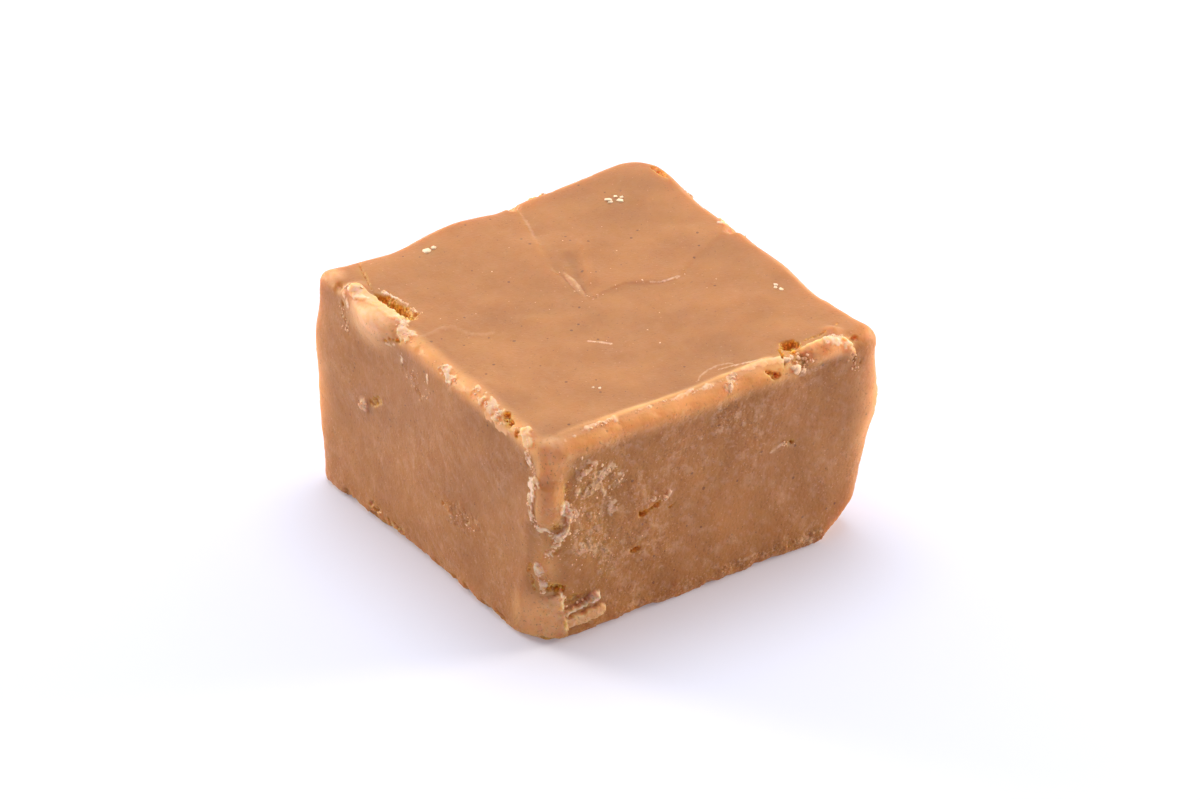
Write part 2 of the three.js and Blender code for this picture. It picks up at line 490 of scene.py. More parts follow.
@dataclass(frozen=True)
class Feature:
    """A mark on the block, in millimetres.

    Its height is along the surface's outward direction, or along push when that is given. squash
    stretches its width along each axis. The border wanders by ragged, in swells of ragged_size, in a
    pattern that seed picks. taper narrows both ends and fade_in lets the first end rise out of
    nothing, as shares of the path. detail is the level of mesh refinement under it, out to margin
    past its border. A step is raised on the left of its path, seen with facing towards the eye, and
    sharp is how wide its edge is.
    """

    path: Path
    width: float
    height: float
    relief: Relief
    paint: Paint = Paint()
    squash: Point = (1.0, 1.0, 1.0)
    ragged: float = 0.0
    ragged_size: float = 0.5
    taper: float = 0.0
    fade_in: float = 0.0
    detail: int = 3
    margin: float = 0.35
    push: Point | None = None
    facing: Point = (0.0, 0.0, 1.0)
    sharp: float = 0.35
    seed: int = 1

    def near(self, points: np.ndarray, extra: float) -> np.ndarray:
        """Finds the points in the feature's own box, grown by its width and a little more.

        Args:
            points: places in millimetres.
            extra: how much more the box grows.

        Returns:
            The indices of the points inside.
        """
        corners = np.array(self.path, float)
        grow = (self.width + extra) * np.array(self.squash)
        inside = np.all((points > corners.min(0) - grow) & (points < corners.max(0) + grow), axis=1)
        return np.nonzero(inside)[0]

    def measure(self, points: np.ndarray) -> tuple[np.ndarray, np.ndarray, np.ndarray]:
        """Finds where points lie about the feature's path.

        Args:
            points: places in millimetres.

        Returns:
            The distance from the path, how far along it from 0 to 1, and the same distance signed by side.
        """
        scale = np.array(self.squash)
        spots = points / scale
        path = np.array(self.path, float) / scale
        if len(path) == 1:
            return np.linalg.norm(spots - path[0], axis=1), np.full(len(points), 0.5), spots[:, 0] * 0
        lengths = np.linalg.norm(np.diff(path, axis=0), axis=1)
        starts = np.concatenate([[0.0], np.cumsum(lengths)])
        best = np.full(len(points), np.inf)
        along = np.zeros(len(points))
        side = np.zeros(len(points))
        for (a, b), length, start in zip(pairwise(path), lengths, starts):
            t = np.clip((spots - a) @ (b - a) / length**2, 0.0, 1.0)
            gap = spots - (a + t[:, None] * (b - a))
            distance = np.linalg.norm(gap, axis=1)
            closer = distance < best
            best[closer] = distance[closer]
            along[closer] = (start + t * length)[closer] / starts[-1]
            across = np.cross(b - a, gap) @ np.array(self.facing)
            side[closer] = (np.sign(across) * distance)[closer]
        return best, along, side

    def reaches(self, points: np.ndarray) -> np.ndarray:
        """Finds the points close enough to the feature to need its fine mesh.

        Args:
            points: places in millimetres.

        Returns:
            One flag for each point.
        """
        hit = np.zeros(len(points), bool)
        index = self.near(points, self.margin)
        if len(index):
            distance, _, _ = self.measure(points[index])
            hit[index] = distance < self.width + self.margin
        return hit

    def strength(self, points: np.ndarray) -> tuple[np.ndarray, np.ndarray]:
        """The shares of its height and its paint at points near the feature.

        Args:
            points: places in millimetres, all of them near the feature.

        Returns:
            The share of the full height, and the share of the full paint, both mostly from 0 to 1.
        """
        distance, along, side = self.measure(points)
        if self.ragged:
            wander = self.ragged * Ripple(self.ragged_size, self.seed, 2).over(points)
            distance, side = distance + wander, side + wander
        x = np.maximum(distance, 0.0) / self.width
        fade = np.ones(len(points))
        if self.taper:
            fade = smoothstep(0.0, self.taper, along) * smoothstep(0.0, self.taper, 1.0 - along)
            x = x / np.maximum(fade, NARROWEST)
        if self.fade_in:
            fade = fade * smoothstep(0.0, self.fade_in, along)
        profile, share = self.profile(points, x, side)
        if self.ragged and self.relief is not Relief.DOME:
            depth = FLAKE_LUMPS if self.relief is Relief.PLATE else LUMPS
            lumps = Ripple(LUMP_SIZE * self.ragged_size, self.seed + 5).over(points)
            profile = profile * (1.0 - depth * (0.5 - lumps))
        return profile * fade, share * fade

    def profile(self, points: np.ndarray, x: np.ndarray, side: np.ndarray) -> tuple[np.ndarray, np.ndarray]:
        """How height and paint fall off from the feature's middle to its border.

        Args:
            points: places in millimetres.
            x: their distances from the path, as shares of the width.
            side: their distances from the path in millimetres, signed by side.

        Returns:
            The share of the full height, and the share of the full paint.
        """
        paint = 1.0 - smoothstep(PAINT_EDGE, 1.0, x)
        match self.relief:
            case Relief.GASH:
                floor = 0.85 + 0.3 * GASH_FLOOR.over(points)
                return (1.0 - smoothstep(GASH_WALL, 1.0, x)) * floor, paint
            case Relief.CRACK:
                return np.maximum(1.0 - x, 0.0), paint
            case Relief.LIP:
                return np.maximum(1.0 - x * x, 0.0) ** 1.5, paint
            case Relief.PLATE:
                return paint, paint
            case Relief.DOME:
                soft = 1.0 - smoothstep(0.0, 1.0, x)
                return soft, soft
            case Relief.STEP:
                edge = smoothstep(-self.sharp, self.sharp, side) * (1.0 - smoothstep(0.1, 1.0, x))
                return edge, edge
            case Relief.STAIN:
                return 0.0 * x, paint


def top(*spots: tuple[float, float]) -> Path:
    """A path over the tilted top face, from its plan places."""
    across, along = SlabForm.top_rise
    return tuple((x, y, SlabForm.height + across * x + along * y) for x, y in spots)


def marking(
    relief: Relief, path: Path, width: float, height: float, *, amber: float = 0.0, pale: float = 0.0,
    grain: float = 0.0, rim: float = 0.0, **shape: object,
) -> Feature:
    """Makes a feature with its paint.

    Args:
        relief: how its height runs from its middle to its border.
        path: its middle line.
        width: how far it reaches from the path.
        height: its full height, or its depth below 0.
        amber: how amber it is; in hollows this amber is partly painted shade.
        pale: how pale and dry it is.
        grain: how grainy it is.
        rim: how strongly a painted glow lightens it, standing in for light that comes through.
        **shape: the feature's other fields.

    Returns:
        The feature.
    """
    return Feature(path, width, height, relief, Paint(amber, pale, grain, rim), **shape)


# One maker for each relief, in the order in which Relief lists them.
gash, crack, lip, flake, dome, step, stain = (partial(marking, relief) for relief in Relief)

# The gash behind the tongue that was pushed up over the top left edge, and the flaked corner beside it.
LEFT_GASH = (
    crack(((-14.3, 17.4, 21.7), (-14.9, 16.2, 21.8), (-15.9, 13.6, 21.9), (-16.4, 12.0, 21.9)), 0.15, -0.24,
        amber=0.45, ragged=0.08),
    gash(top((-14.7, 16.4)), 0.24, -0.25, amber=0.8, ragged=0.1),
    # Painted light: every rim mark in this group is a painted glow, and these two domes' pale paint a
    # highlight on the tongue and on the shade under it.
    dome(((-18.2, 9.0, 20.8),), 1.0, 0.14, rim=1.3, pale=0.3, squash=(1.9, 5.4, 3.6), detail=2),
    dome(((-18.9, 8.0, 21.2),), 1.0, 0.0, rim=1.7, pale=0.6, squash=(1.6, 4.4, 2.0), detail=2),
    gash(top((-16.7, 12.0), (-16.3, 10.2), (-16.0, 8.0), (-15.9, 5.6)), 0.6, -1.1, amber=1.0, ragged=0.28,
        ragged_size=0.6, taper=0.3),
    gash(top((-16.2, 9.6), (-15.9, 7.6), (-15.9, 6.2)), 0.75, -0.5, amber=1.0, ragged=0.35,
        ragged_size=0.45, seed=3),
    lip(top((-15.9, 12.0), (-15.3, 10.0), (-15.0, 8.0), (-14.9, 6.0)), 0.16, 0.06, pale=0.9, ragged=0.18,
        ragged_size=0.4, taper=0.15),
    flake(((-17.8, 12.4, 22.0), (-17.3, 9.6, 21.8), (-17.2, 6.8, 21.6)), 0.8, 0.14, pale=0.35, rim=1.2,
        ragged=0.2, ragged_size=1.5),
    flake(((-17.9, 13.3, 22.0), (-17.8, 12.3, 22.0), (-18.0, 11.2, 21.8)), 0.5, 0.1, pale=0.8, ragged=0.4,
        ragged_size=0.8),
    flake(((-18.4, 13.4, 21.3), (-18.5, 12.6, 20.9)), 0.26, 0.08, pale=0.9, ragged=0.4),
    # paint only: painted glow and painted pale at the back corner
    dome(((-17.6, 16.6, 21.8),), 1.0, 0.0, rim=0.9, pale=0.2, grain=0.3, squash=(1.6, 1.8, 1.2), detail=2),
    dome(((-18.2, 14.6, 21.6),), 1.0, -0.4, amber=0.5, grain=0.5, rim=0.5, squash=(0.9, 0.9, 1.0)),
    gash(((-18.6, 13.6, 20.7), (-18.7, 13.1, 19.8), (-18.7, 12.7, 18.9)), 0.14, -0.25, amber=0.45,
        grain=0.5, ragged=0.14),
    dome(((-18.6, 14.0, 20.2), (-18.7, 13.4, 19.2), (-18.7, 12.6, 18.4)), 0.5, 0.0, grain=0.9, ragged=0.2),
    flake(((-17.2, 5.9, 21.6), (-17.5, 4.9, 21.5), (-18.0, 3.6, 21.3)), 0.42, 0.1, pale=0.8, grain=0.3,
        ragged=0.5, ragged_size=0.6),
    gash(((-19.0, 6.2, 20.1), (-18.8, 5.3, 20.5), (-18.5, 4.1, 20.7)), 0.22, -0.45, amber=0.8, ragged=0.14),
    lip(((-18.9, 5.9, 19.7), (-18.7, 4.9, 20.1)), 0.22, 0.08, pale=0.8, ragged=0.2, ragged_size=0.4),
)

# The crumbled top left edge, with its pits, and the crumbs smeared down from it.
TOP_LEFT_EDGE = (
    # painted glow along the top left edge; the flakes' rim marks below are painted glow too
    dome(((-18.0, 4.0, 21.1), (-18.1, -7.6, 20.6), (-18.1, -12.5, 20.2), (-18.1, -17.0, 19.7)), 1.5, 0.05,
        rim=1.0, detail=2),
    flake(((-18.0, -2.4, 20.9), (-18.3, -4.2, 20.5)), 0.3, 0.12, pale=1.0, ragged=0.4),
    flake(((-17.9, -7.4, 20.8), (-18.1, -8.8, 20.6)), 0.26, 0.1, pale=0.9, ragged=0.45, ragged_size=0.4),
    flake(((-18.0, -9.4, 20.6), (-18.2, -11.2, 20.3)), 0.34, 0.1, pale=0.7, grain=0.2, ragged=0.45,
        ragged_size=0.4, seed=6),
    flake(((-18.5, -10.0, 20.0), (-18.5, -12.4, 19.7)), 0.5, 0.08, pale=0.35, rim=0.9, ragged=0.4,
        ragged_size=0.6),
    gash(((-17.8, -11.7, 20.6), (-18.0, -12.9, 20.3)), 0.4, -0.6, amber=1.0, ragged=0.2),
    gash(((-18.2, -14.2, 19.9),), 0.4, -0.5, amber=1.0, ragged=0.16),
    flake(((-17.8, -14.8, 20.2), (-18.1, -16.0, 19.8)), 0.5, 0.2, pale=0.6, rim=1.0, ragged=0.25),
    dome(((-18.7, 3.9, 19.0), (-18.8, 0.6, 17.4)), 1.4, 0.0, grain=0.45, ragged=0.5, ragged_size=1.2,
        detail=2),
    gash(((-18.7, 1.4, 18.6), (-18.7, 1.1, 17.6), (-18.8, 0.6, 16.9)), 0.14, -0.25, amber=0.4, pale=0.2,
        ragged=0.16),
    lip(((-18.7, 1.9, 18.4), (-18.8, 1.5, 17.0)), 0.16, 0.1, pale=0.9, ragged=0.16, ragged_size=0.3),
    lip(((-18.6, 3.9, 19.6), (-18.7, 3.7, 18.6)), 0.2, 0.12, pale=1.0, ragged=0.18, ragged_size=0.3),
    lip(((-18.6, -0.3, 19.6), (-18.7, -0.6, 18.7)), 0.16, 0.1, pale=1.0, ragged=0.14, ragged_size=0.3),
)

# The front corner: a smooth finger between its torn borders, and the layers broken off at its foot.
FRONT_CORNER = (
    # painted glow on the finger's top and along it; every rim mark here is a painted glow
    dome(((-17.5, -17.9, 18.8),), 1.0, 0.3, rim=1.3, squash=(2.6, 2.4, 3.2), detail=2),
    dome(((-17.6, -18.1, 15.8),), 1.0, 0.4, rim=0.7, squash=(1.8, 1.8, 4.6), detail=2),
    lip(((-17.0, -18.3, 18.4), (-17.3, -18.3, 16.8), (-17.6, -18.2, 14.8), (-17.7, -18.1, 13.2)), 1.3, 0.26,
        rim=0.45, detail=2, fade_in=0.6),
    # the recess beside the finger: its amber is partly painted shade and its rim a painted glow
    dome(((-16.3, -18.8, 17.2), (-16.2, -18.8, 15.4), (-16.6, -18.7, 12.9)), 0.8, -0.3, amber=0.9, rim=0.8,
        ragged=0.12, taper=0.2),
    gash(((-17.4, -18.4, 12.5), (-16.9, -18.6, 12.3)), 0.3, -0.3, amber=0.8, ragged=0.12),
    # paint only: a painted glow and amber on the corner, which faces away from the lamps
    dome(((-17.9, -18.0, 8.4),), 1.0, 0.0, rim=1.1, amber=0.2, squash=(2.0, 2.2, 5.0), detail=2),
    flake(((-18.5, -15.8, 19.0), (-18.5, -16.5, 17.8), (-18.5, -17.0, 16.8)), 0.26, 0.1, pale=1.0,
        grain=0.3, ragged=0.3, ragged_size=0.4),
    flake(((-18.4, -17.4, 16.9),), 0.4, 0.14, pale=1.0, ragged=0.35),
    flake(((-18.5, -16.9, 16.4), (-18.7, -16.7, 15.6), (-18.7, -16.8, 14.9)), 0.5, 0.16, pale=1.0,
        ragged=0.35),
    flake(((-18.7, -16.8, 14.4), (-18.6, -16.9, 12.9), (-18.3, -17.5, 12.0), (-17.6, -18.0, 11.7)), 0.28,
        0.14, pale=1.0, grain=0.3, ragged=0.32, ragged_size=0.45),
    dome(((-18.6, -16.0, 18.2), (-18.7, -16.3, 16.8)), 0.6, -0.06, grain=0.9),
    flake(((-16.4, -18.9, 14.3), (-16.1, -18.9, 13.5)), 0.62, 0.25, pale=1.0, ragged=0.42, ragged_size=0.6),
    flake(((-16.3, -18.8, 12.2), (-17.0, -18.5, 11.0)), 0.36, 0.18, pale=1.0, grain=0.3, ragged=0.42),
    flake(((-17.0, -18.5, 10.7), (-17.5, -17.9, 9.6)), 0.24, 0.12, pale=0.8, grain=0.3, ragged=0.36,
        ragged_size=0.4, seed=5),
    dome(((-16.6, -18.6, 10.6), (-17.1, -18.3, 9.6)), 0.4, -0.12, amber=0.5, grain=0.8),
    flake(((-18.2, -17.2, 8.0), (-18.1, -17.3, 7.4)), 0.3, 0.12, pale=1.0, ragged=0.3, ragged_size=0.45),
    flake(((-17.9, -17.4, 6.4), (-17.8, -17.5, 5.8)), 0.26, 0.12, pale=1.0, ragged=0.3, ragged_size=0.4,
        seed=4),
    gash(((-18.5, -16.6, 7.9), (-18.6, -16.3, 7.2)), 0.2, -0.16, amber=0.6, ragged=0.16),
    gash(((-17.6, -17.8, 7.6), (-17.6, -17.8, 7.0)), 0.16, -0.16, amber=0.6, ragged=0.12),
    gash(((-18.5, -16.7, 7.0), (-18.3, -16.9, 5.6)), 0.18, -0.2, amber=0.6, ragged=0.14),
    # the layer at the foot, lightened with painted glow and painted pale where less light reaches it
    step(((-18.3, -16.7, 4.9), (-17.5, -17.7, 4.9), (-16.6, -18.2, 5.3), (-16.2, -18.3, 4.6),
        (-16.4, -18.3, 3.6), (-16.1, -18.3, 2.2)), 2.6, 0.34, rim=1.0, pale=0.3, facing=(0.5, 0.8, 0.0),
        sharp=0.09, ragged=0.26, ragged_size=0.6, detail=2, fade_in=0.35),
    # paint only: painted glow and painted pale on the clipped base corner
    dome(((-17.8, -17.0, 2.2),), 1.0, 0.0, rim=1.7, pale=0.15, squash=(2.8, 4.4, 4.4), detail=2),
    lip(((-16.6, -18.2, 5.3), (-16.2, -18.3, 4.6), (-16.4, -18.3, 3.6), (-16.1, -18.3, 2.4)), 0.16, 0.08,
        pale=0.8, ragged=0.2),
    gash(((-17.5, -17.8, 5.9), (-16.9, -18.1, 5.9), (-16.3, -18.3, 5.7)), 0.42, -0.6, amber=1.0,
        ragged=0.2),
    gash(((-15.9, -18.3, 4.2), (-14.6, -18.4, 4.2)), 0.5, -0.3, amber=0.35, ragged=0.2),
    gash(((-16.1, -18.3, 2.75), (-14.8, -18.4, 2.9), (-13.6, -18.4, 3.15)), 0.15, -0.9, amber=1.0,
        ragged=0.04, taper=0.15),
    flake(((-15.9, -18.3, 3.05), (-14.2, -18.4, 3.4), (-13.0, -18.4, 3.9)), 0.24, 0.45, pale=0.8,
        ragged=0.16, push=(0.0, -1.0, -0.15)),
    flake(((-13.4, -18.4, 3.8), (-12.9, -18.4, 4.0)), 0.36, 0.4, pale=1.0, ragged=0.2, ragged_size=0.4,
        push=(0.0, -1.0, 0.0)),
    flake(((-15.8, -18.2, 1.9), (-13.9, -18.3, 2.0), (-12.5, -18.3, 2.1)), 0.6, 0.36, rim=0.8, pale=0.4,
        ragged=0.15, ragged_size=0.6),
    gash(((-18.7, -15.4, 0.45), (-17.6, -17.2, 0.4), (-15.8, -18.0, 0.3)), 0.2, -0.3, amber=1.0,
        ragged=0.04),
)

# The torn, sandy end of the front side, its small cracks, and the sand along its base.
FRONT_FACE = (
    dome(((-13.2, -18.6, 15.6),), 1.0, -0.1, grain=1.1, amber=0.42, squash=(4.4, 1.5, 3.4), ragged=0.35,
        ragged_size=1.8, margin=0.05),
    dome(((-13.4, -18.6, 10.0),), 1.0, -0.05, grain=0.9, amber=0.25, squash=(6.0, 1.5, 7.5), ragged=0.35,
        ragged_size=2.4, detail=2),
    dome(((-8.5, -18.6, 8.0),), 1.0, 0.0, grain=0.6, squash=(11.0, 1.5, 9.0), ragged=0.3, ragged_size=3.0,
        detail=1),
    flake(((-12.4, -18.7, 16.0), (-11.4, -18.7, 16.4)), 0.45, 0.12, pale=0.6, ragged=0.45),
    flake(((-15.0, -18.7, 15.2), (-14.3, -18.7, 14.8)), 0.4, 0.1, pale=0.6, ragged=0.5),
    flake(((-14.2, -18.7, 17.2), (-13.4, -18.7, 17.6)), 0.4, 0.1, pale=0.6, ragged=0.5, seed=4),
    *(
        flake(((x, -18.7, z),), width, 0.06, pale=0.55, ragged=0.55, seed=seed)
        for seed, (x, z, width) in enumerate((
            (-14.9, 16.6, 0.42), (-13.0, 15.0, 0.5), (-15.4, 13.2, 0.4), (-12.2, 14.2, 0.36),
            (-13.6, 12.6, 0.42), (-15.2, 11.2, 0.36), (-11.2, 12.4, 0.34), (-14.4, 9.4, 0.38),
            (-10.4, 15.2, 0.32),
        ), start=11)
    ),
    gash(((-8.2, -18.7, 10.6), (-7.4, -18.6, 10.7)), 0.3, -0.7, amber=1.0, ragged=0.2, ragged_size=0.4),
    gash(((-6.9, -18.6, 10.8), (-6.2, -18.6, 11.0)), 0.25, -0.7, amber=1.0, ragged=0.16, ragged_size=0.4),
    lip(((-6.8, -18.7, 11.7),), 0.36, 0.22, pale=0.7, ragged=0.12),
    lip(((-5.4, -18.7, 11.2), (-5.1, -18.7, 11.7)), 0.32, 0.26, pale=0.8, ragged=0.14),
    gash(((-9.1, -18.7, 7.05), (-8.5, -18.7, 7.2)), 0.24, -0.7, amber=1.0, ragged=0.08),
    gash(((-5.0, -18.6, 10.1), (-4.4, -18.6, 10.35)), 0.14, -0.35, amber=0.9),
    gash(((8.5, -18.7, 12.2),), 0.42, -0.3, amber=0.5, grain=0.8, ragged=0.16),
    lip(((6.1, -18.6, 12.0), (7.8, -18.6, 12.5)), 0.16, 0.05, pale=0.5, ragged=0.06),
    dome(((1.3, -18.8, 17.2),), 1.0, 0.0, grain=0.9, squash=(4.6, 1.5, 4.0), ragged=0.35, ragged_size=1.8,
        detail=2),
    stain(((2.0, -18.2, 0.7), (12.0, -18.0, 0.9)), 1.1, 0.0, grain=0.9, ragged=0.4, ragged_size=1.5,
        detail=2),
    stain(((-10.0, -18.2, 0.9), (2.0, -18.2, 0.7)), 0.9, 0.0, grain=0.7, ragged=0.4, ragged_size=1.5,
        detail=2),
)

# The soft raised band along the top front edge, with thin curls of skin.
TOP_FRONT_EDGE = (
    # painted glow along the band; every rim mark in this group is a painted glow
    dome(((-17.9, -17.9, 19.5), (-10.1, -18.3, 19.9), (-1.7, -18.4, 20.0), (5.4, -18.4, 20.2),
        (8.0, -18.4, 20.2)), 1.7, 0.28, rim=0.95, detail=2, fade_in=0.05),
    # painted glow and painted pale brighten the top of the front corner, which faces away from the overhead
    # lamp
    dome(((-17.9, -18.1, 20.4),), 1.0, -0.08, rim=1.3, pale=0.4, squash=(2.4, 2.2, 1.9), detail=2),
    dome(((-17.4, -17.0, 20.0), (-10.1, -17.4, 20.6), (-1.7, -17.4, 20.9), (5.4, -17.4, 21.0),
        (7.6, -17.4, 21.1)), 0.7, 0.08, rim=1.0, detail=2, taper=0.06),
    lip(((-16.6, -17.7, 19.9), (-13.4, -17.8, 20.5), (-12.1, -17.7, 20.7), (-10.1, -17.8, 20.7)), 0.22, 0.1,
        pale=0.75, ragged=0.25, taper=0.1),
    lip(((-8.6, -17.8, 20.7), (-4.8, -17.9, 20.7), (-1.7, -17.9, 20.6), (0.5, -17.9, 20.7)), 0.2, 0.08,
        pale=0.6, ragged=0.25, taper=0.1),
    lip(top((-1.2, -17.5), (-0.9, -16.8), (0.0, -16.1), (1.2, -15.6), (2.4, -15.5), (3.3, -15.8),
        (3.8, -16.4)), 0.15, 0.07, pale=0.3, ragged=0.03, taper=0.08),
    lip(top((1.6, -16.0), (3.0, -16.3), (4.6, -16.7), (6.2, -17.3)), 0.13, 0.08, pale=0.6, ragged=0.04,
        taper=0.1),
    lip(((1.2, -18.4, 20.2), (2.2, -17.8, 20.9)), 0.45, 0.06, pale=0.6, grain=0.9, ragged=0.3,
        ragged_size=0.35),
    lip(((3.4, -17.6, 21.1), (5.4, -17.8, 21.1), (7.2, -18.0, 21.0)), 0.45, 0.12, pale=0.35, rim=1.0,
        ragged=0.2, ragged_size=0.6),
)

# The pit near the right end of the top front edge, and the lip beyond it.
RIGHT_HOLE = (
    gash(((9.4, -16.8, 21.2),), 0.9, -1.3, amber=1.0, squash=(1.15, 1.05, 1.6), ragged=0.25),
    gash(((8.9, -17.4, 21.0), (8.8, -18.0, 20.7)), 0.45, -0.35, amber=0.9, grain=0.4, ragged=0.25),
    gash(((8.1, -16.9, 21.1), (7.8, -17.9, 21.0), (7.7, -18.3, 20.6)), 0.2, -0.7, amber=0.9, ragged=0.12),
    gash(((5.5, -18.7, 20.5), (5.9, -18.8, 20.2), (6.5, -18.8, 20.0)), 0.3, -0.6, amber=1.0, ragged=0.18),
    gash(((6.5, -18.8, 20.0), (7.2, -18.6, 20.4), (7.7, -18.3, 20.8)), 0.14, -0.35, amber=0.8, ragged=0.08),
    dome(((9.0, -18.4, 20.3),), 1.0, -0.15, grain=1.0, squash=(1.9, 1.2, 1.3), ragged=0.3),
    # painted glow on the lip beyond the pit and on the step that follows
    dome(((10.2, -18.4, 20.4), (12.4, -18.6, 20.6), (14.2, -18.6, 20.4)), 1.3, 0.35, rim=1.0, detail=2),
    step(((14.9, -18.8, 20.2), (14.5, -18.7, 20.9), (13.9, -18.2, 21.3), (12.6, -18.1, 21.3),
        (11.0, -17.9, 21.2), (10.2, -17.8, 21.0)), 1.4, 0.32, pale=0.3, rim=1.0, facing=(0.2, -0.5, 0.8),
        sharp=0.12, ragged=0.16, ragged_size=0.7),
    flake(((12.5, -18.3, 21.4), (13.5, -18.4, 21.3), (14.4, -18.8, 20.7)), 0.4, 0.12, pale=1.0, ragged=0.4,
        ragged_size=0.6),
    crack(((11.0, -17.0, 21.2), (12.1, -17.0, 21.4), (12.9, -17.0, 21.5), (14.0, -17.0, 21.4),
        (14.8, -16.6, 21.4), (15.6, -15.7, 21.3), (16.3, -14.3, 21.3)), 0.16, -0.35, amber=0.8, ragged=0.1),
    gash(((15.4, -18.4, 20.7),), 0.45, -0.25, amber=0.35, ragged=0.25),
    dome(((14.8, -18.9, 19.9), (15.5, -19.0, 18.4)), 0.5, -0.1, grain=1.2, ragged=0.3),
    lip(((9.2, -19.0, 19.2), (11.4, -19.0, 19.1)), 0.3, 0.06, pale=0.3, ragged=0.2, detail=2),
)

# Painted glow on upright edges, standing in for light that comes through them, with a little painted pale
# on one.
PAINTED_GLOW_EDGES = (
    dome(((-18.9, 18.3, 10.5),), 1.0, 0.0, rim=0.8, squash=(1.8, 3.8, 15.0), detail=0),
    dome(((18.6, -18.9, 11.0),), 1.0, 0.0, rim=1.15, pale=0.2, squash=(4.4, 1.7, 14.0), detail=0),
    dome(((18.6, 18.4, 0.0), (18.8, 18.4, 23.0)), 3.0, 0.0, rim=0.35, detail=0),
)

# The folds and the thin crack on the poured top, and the nicks in its two back edges.
TOP_FACE = (
    crack(top((3.2, 18.2), (2.9, 16.2), (2.2, 13.7), (0.9, 10.6)), 0.2, -0.22, pale=0.2, ragged=0.05,
        taper=0.2, detail=2),
    step(top((3.2, 18.6), (2.9, 16.2), (2.2, 13.7), (0.9, 10.6), (-0.6, 6.0), (-1.2, -0.9)), 3.0, -0.2,
        detail=1, taper=0.12),
    lip(top((4.8, 10.2), (3.5, 7.2), (2.4, 4.9), (0.6, 2.0), (-0.9, -0.4)), 0.7, 0.13, detail=2,
        taper=0.25),
    dome(top((2.4, 8.6), (1.2, 4.6), (0.0, 1.2)), 0.95, -0.16, detail=2, taper=0.3),
    lip(top((0.2, 6.2), (-0.2, 4.0), (-0.7, 1.4), (-1.2, -1.0)), 0.44, 0.28, pale=0.3, taper=0.45),
    lip(top((-1.2, -0.9), (0.3, -0.3), (1.7, 0.0), (3.3, 0.0), (5.0, -0.8), (6.2, -1.5), (7.5, -1.6),
        (8.7, -1.5)), 0.14, 0.07, pale=0.55, ragged=0.05, ragged_size=0.4, taper=0.05),
    step(top((-1.2, -0.9), (0.3, -0.3), (3.3, 0.0), (6.2, -1.5), (8.7, -1.5), (11.6, 0.4), (16.6, 2.1),
        (18.6, 2.4)), 2.2, 0.1, detail=1, taper=0.06),
    crack(top((8.7, -1.5), (10.3, -0.5), (11.6, 0.4), (13.2, 1.0), (15.9, 2.0), (18.6, 2.4)), 0.3, -0.05,
        ragged=0.1, detail=2, taper=0.05),
    lip(top((-18.0, 2.6), (-16.3, 2.6), (-14.9, 2.9), (-13.9, 2.6), (-13.2, 0.9), (-12.0, 0.2),
        (-10.4, 0.1)), 0.3, 0.07, pale=0.12, taper=0.1, detail=2),
    lip(top((-5.1, -5.7), (-4.2, -6.7), (-3.3, -7.7)), 0.17, 0.06, pale=1.0, ragged=0.04, taper=0.12),
    dome(top((-9.0, 2.2), (-4.0, -0.6), (0.0, -3.4)), 1.5, -0.14, detail=1, taper=0.4),
    lip(top((3.0, -12.6), (8.0, -10.8), (13.0, -9.8)), 1.3, 0.14, detail=1, taper=0.4),
    dome(top((-4.5, -13.0), (2.0, -9.5), (6.0, -6.0)), 1.6, -0.12, detail=1, taper=0.4),
    lip(top((-13.0, 8.0), (-9.0, 4.0), (-4.0, 1.0)), 1.8, 0.1, detail=1, taper=0.4),
    dome(((17.9, 2.4, 22.2),), 1.0, -0.7, pale=0.6, grain=0.4, squash=(1.6, 0.8, 1.4), ragged=0.3),
    flake(((17.2, 3.6, 22.2), (18.2, 5.0, 22.2)), 0.35, 0.14, pale=0.9, ragged=0.4),
    dome(((3.0, 18.0, 22.6),), 1.0, -0.7, pale=0.6, grain=0.4, squash=(0.9, 1.6, 1.4), ragged=0.3),
    flake(((4.6, 18.2, 22.5), (6.4, 18.3, 22.5)), 0.3, 0.14, pale=0.9, ragged=0.4),
    # a nick in the back corner; its amber is partly painted shade
    gash(((17.3, 15.7, 23.2), (17.7, 14.2, 23.2), (17.6, 12.7, 23.0)), 0.4, -0.6, amber=0.7, ragged=0.12,
        taper=0.25),
)

# The flake, the stain and the nibbled base of the left side.
LEFT_FACE = (
    dome(((-18.9, 9.9, 11.6),), 1.0, 0.38, pale=1.4, grain=0.2, squash=(0.8, 0.85, 0.9), ragged=0.2),
    gash(((-18.8, 8.4, 12.4), (-18.8, 7.4, 13.2)), 0.55, -0.3, amber=0.5, ragged=0.2, ragged_size=0.6),
    stain(((-19.0, -6.2, 7.7),), 1.0, 0.0, grain=0.55, squash=(1.0, 3.6, 1.4), ragged=0.35,
        ragged_size=1.0),
    gash(((-19.0, -6.9, 7.6), (-19.0, -7.4, 7.8)), 0.16, -0.25, amber=0.4, ragged=0.12),
    gash(((-19.1, -3.6, 7.9), (-19.1, -4.2, 7.7)), 0.2, -0.2, amber=0.4, ragged=0.12),
    gash(((-19.0, 8.6, 1.6), (-19.0, 7.6, 1.6)), 0.4, -0.35, amber=0.3, grain=0.6, ragged=0.2),
    gash(((-18.9, 5.6, 1.0), (-18.9, 4.2, 0.9)), 0.45, -0.3, amber=0.3, grain=0.6, ragged=0.2),
    gash(((-18.9, 13.0, 0.3), (-19.0, 0.0, 0.25), (-19.0, -13.0, 0.3)), 0.45, -0.45, grain=0.5, ragged=0.4,
        ragged_size=1.0, detail=2),
)

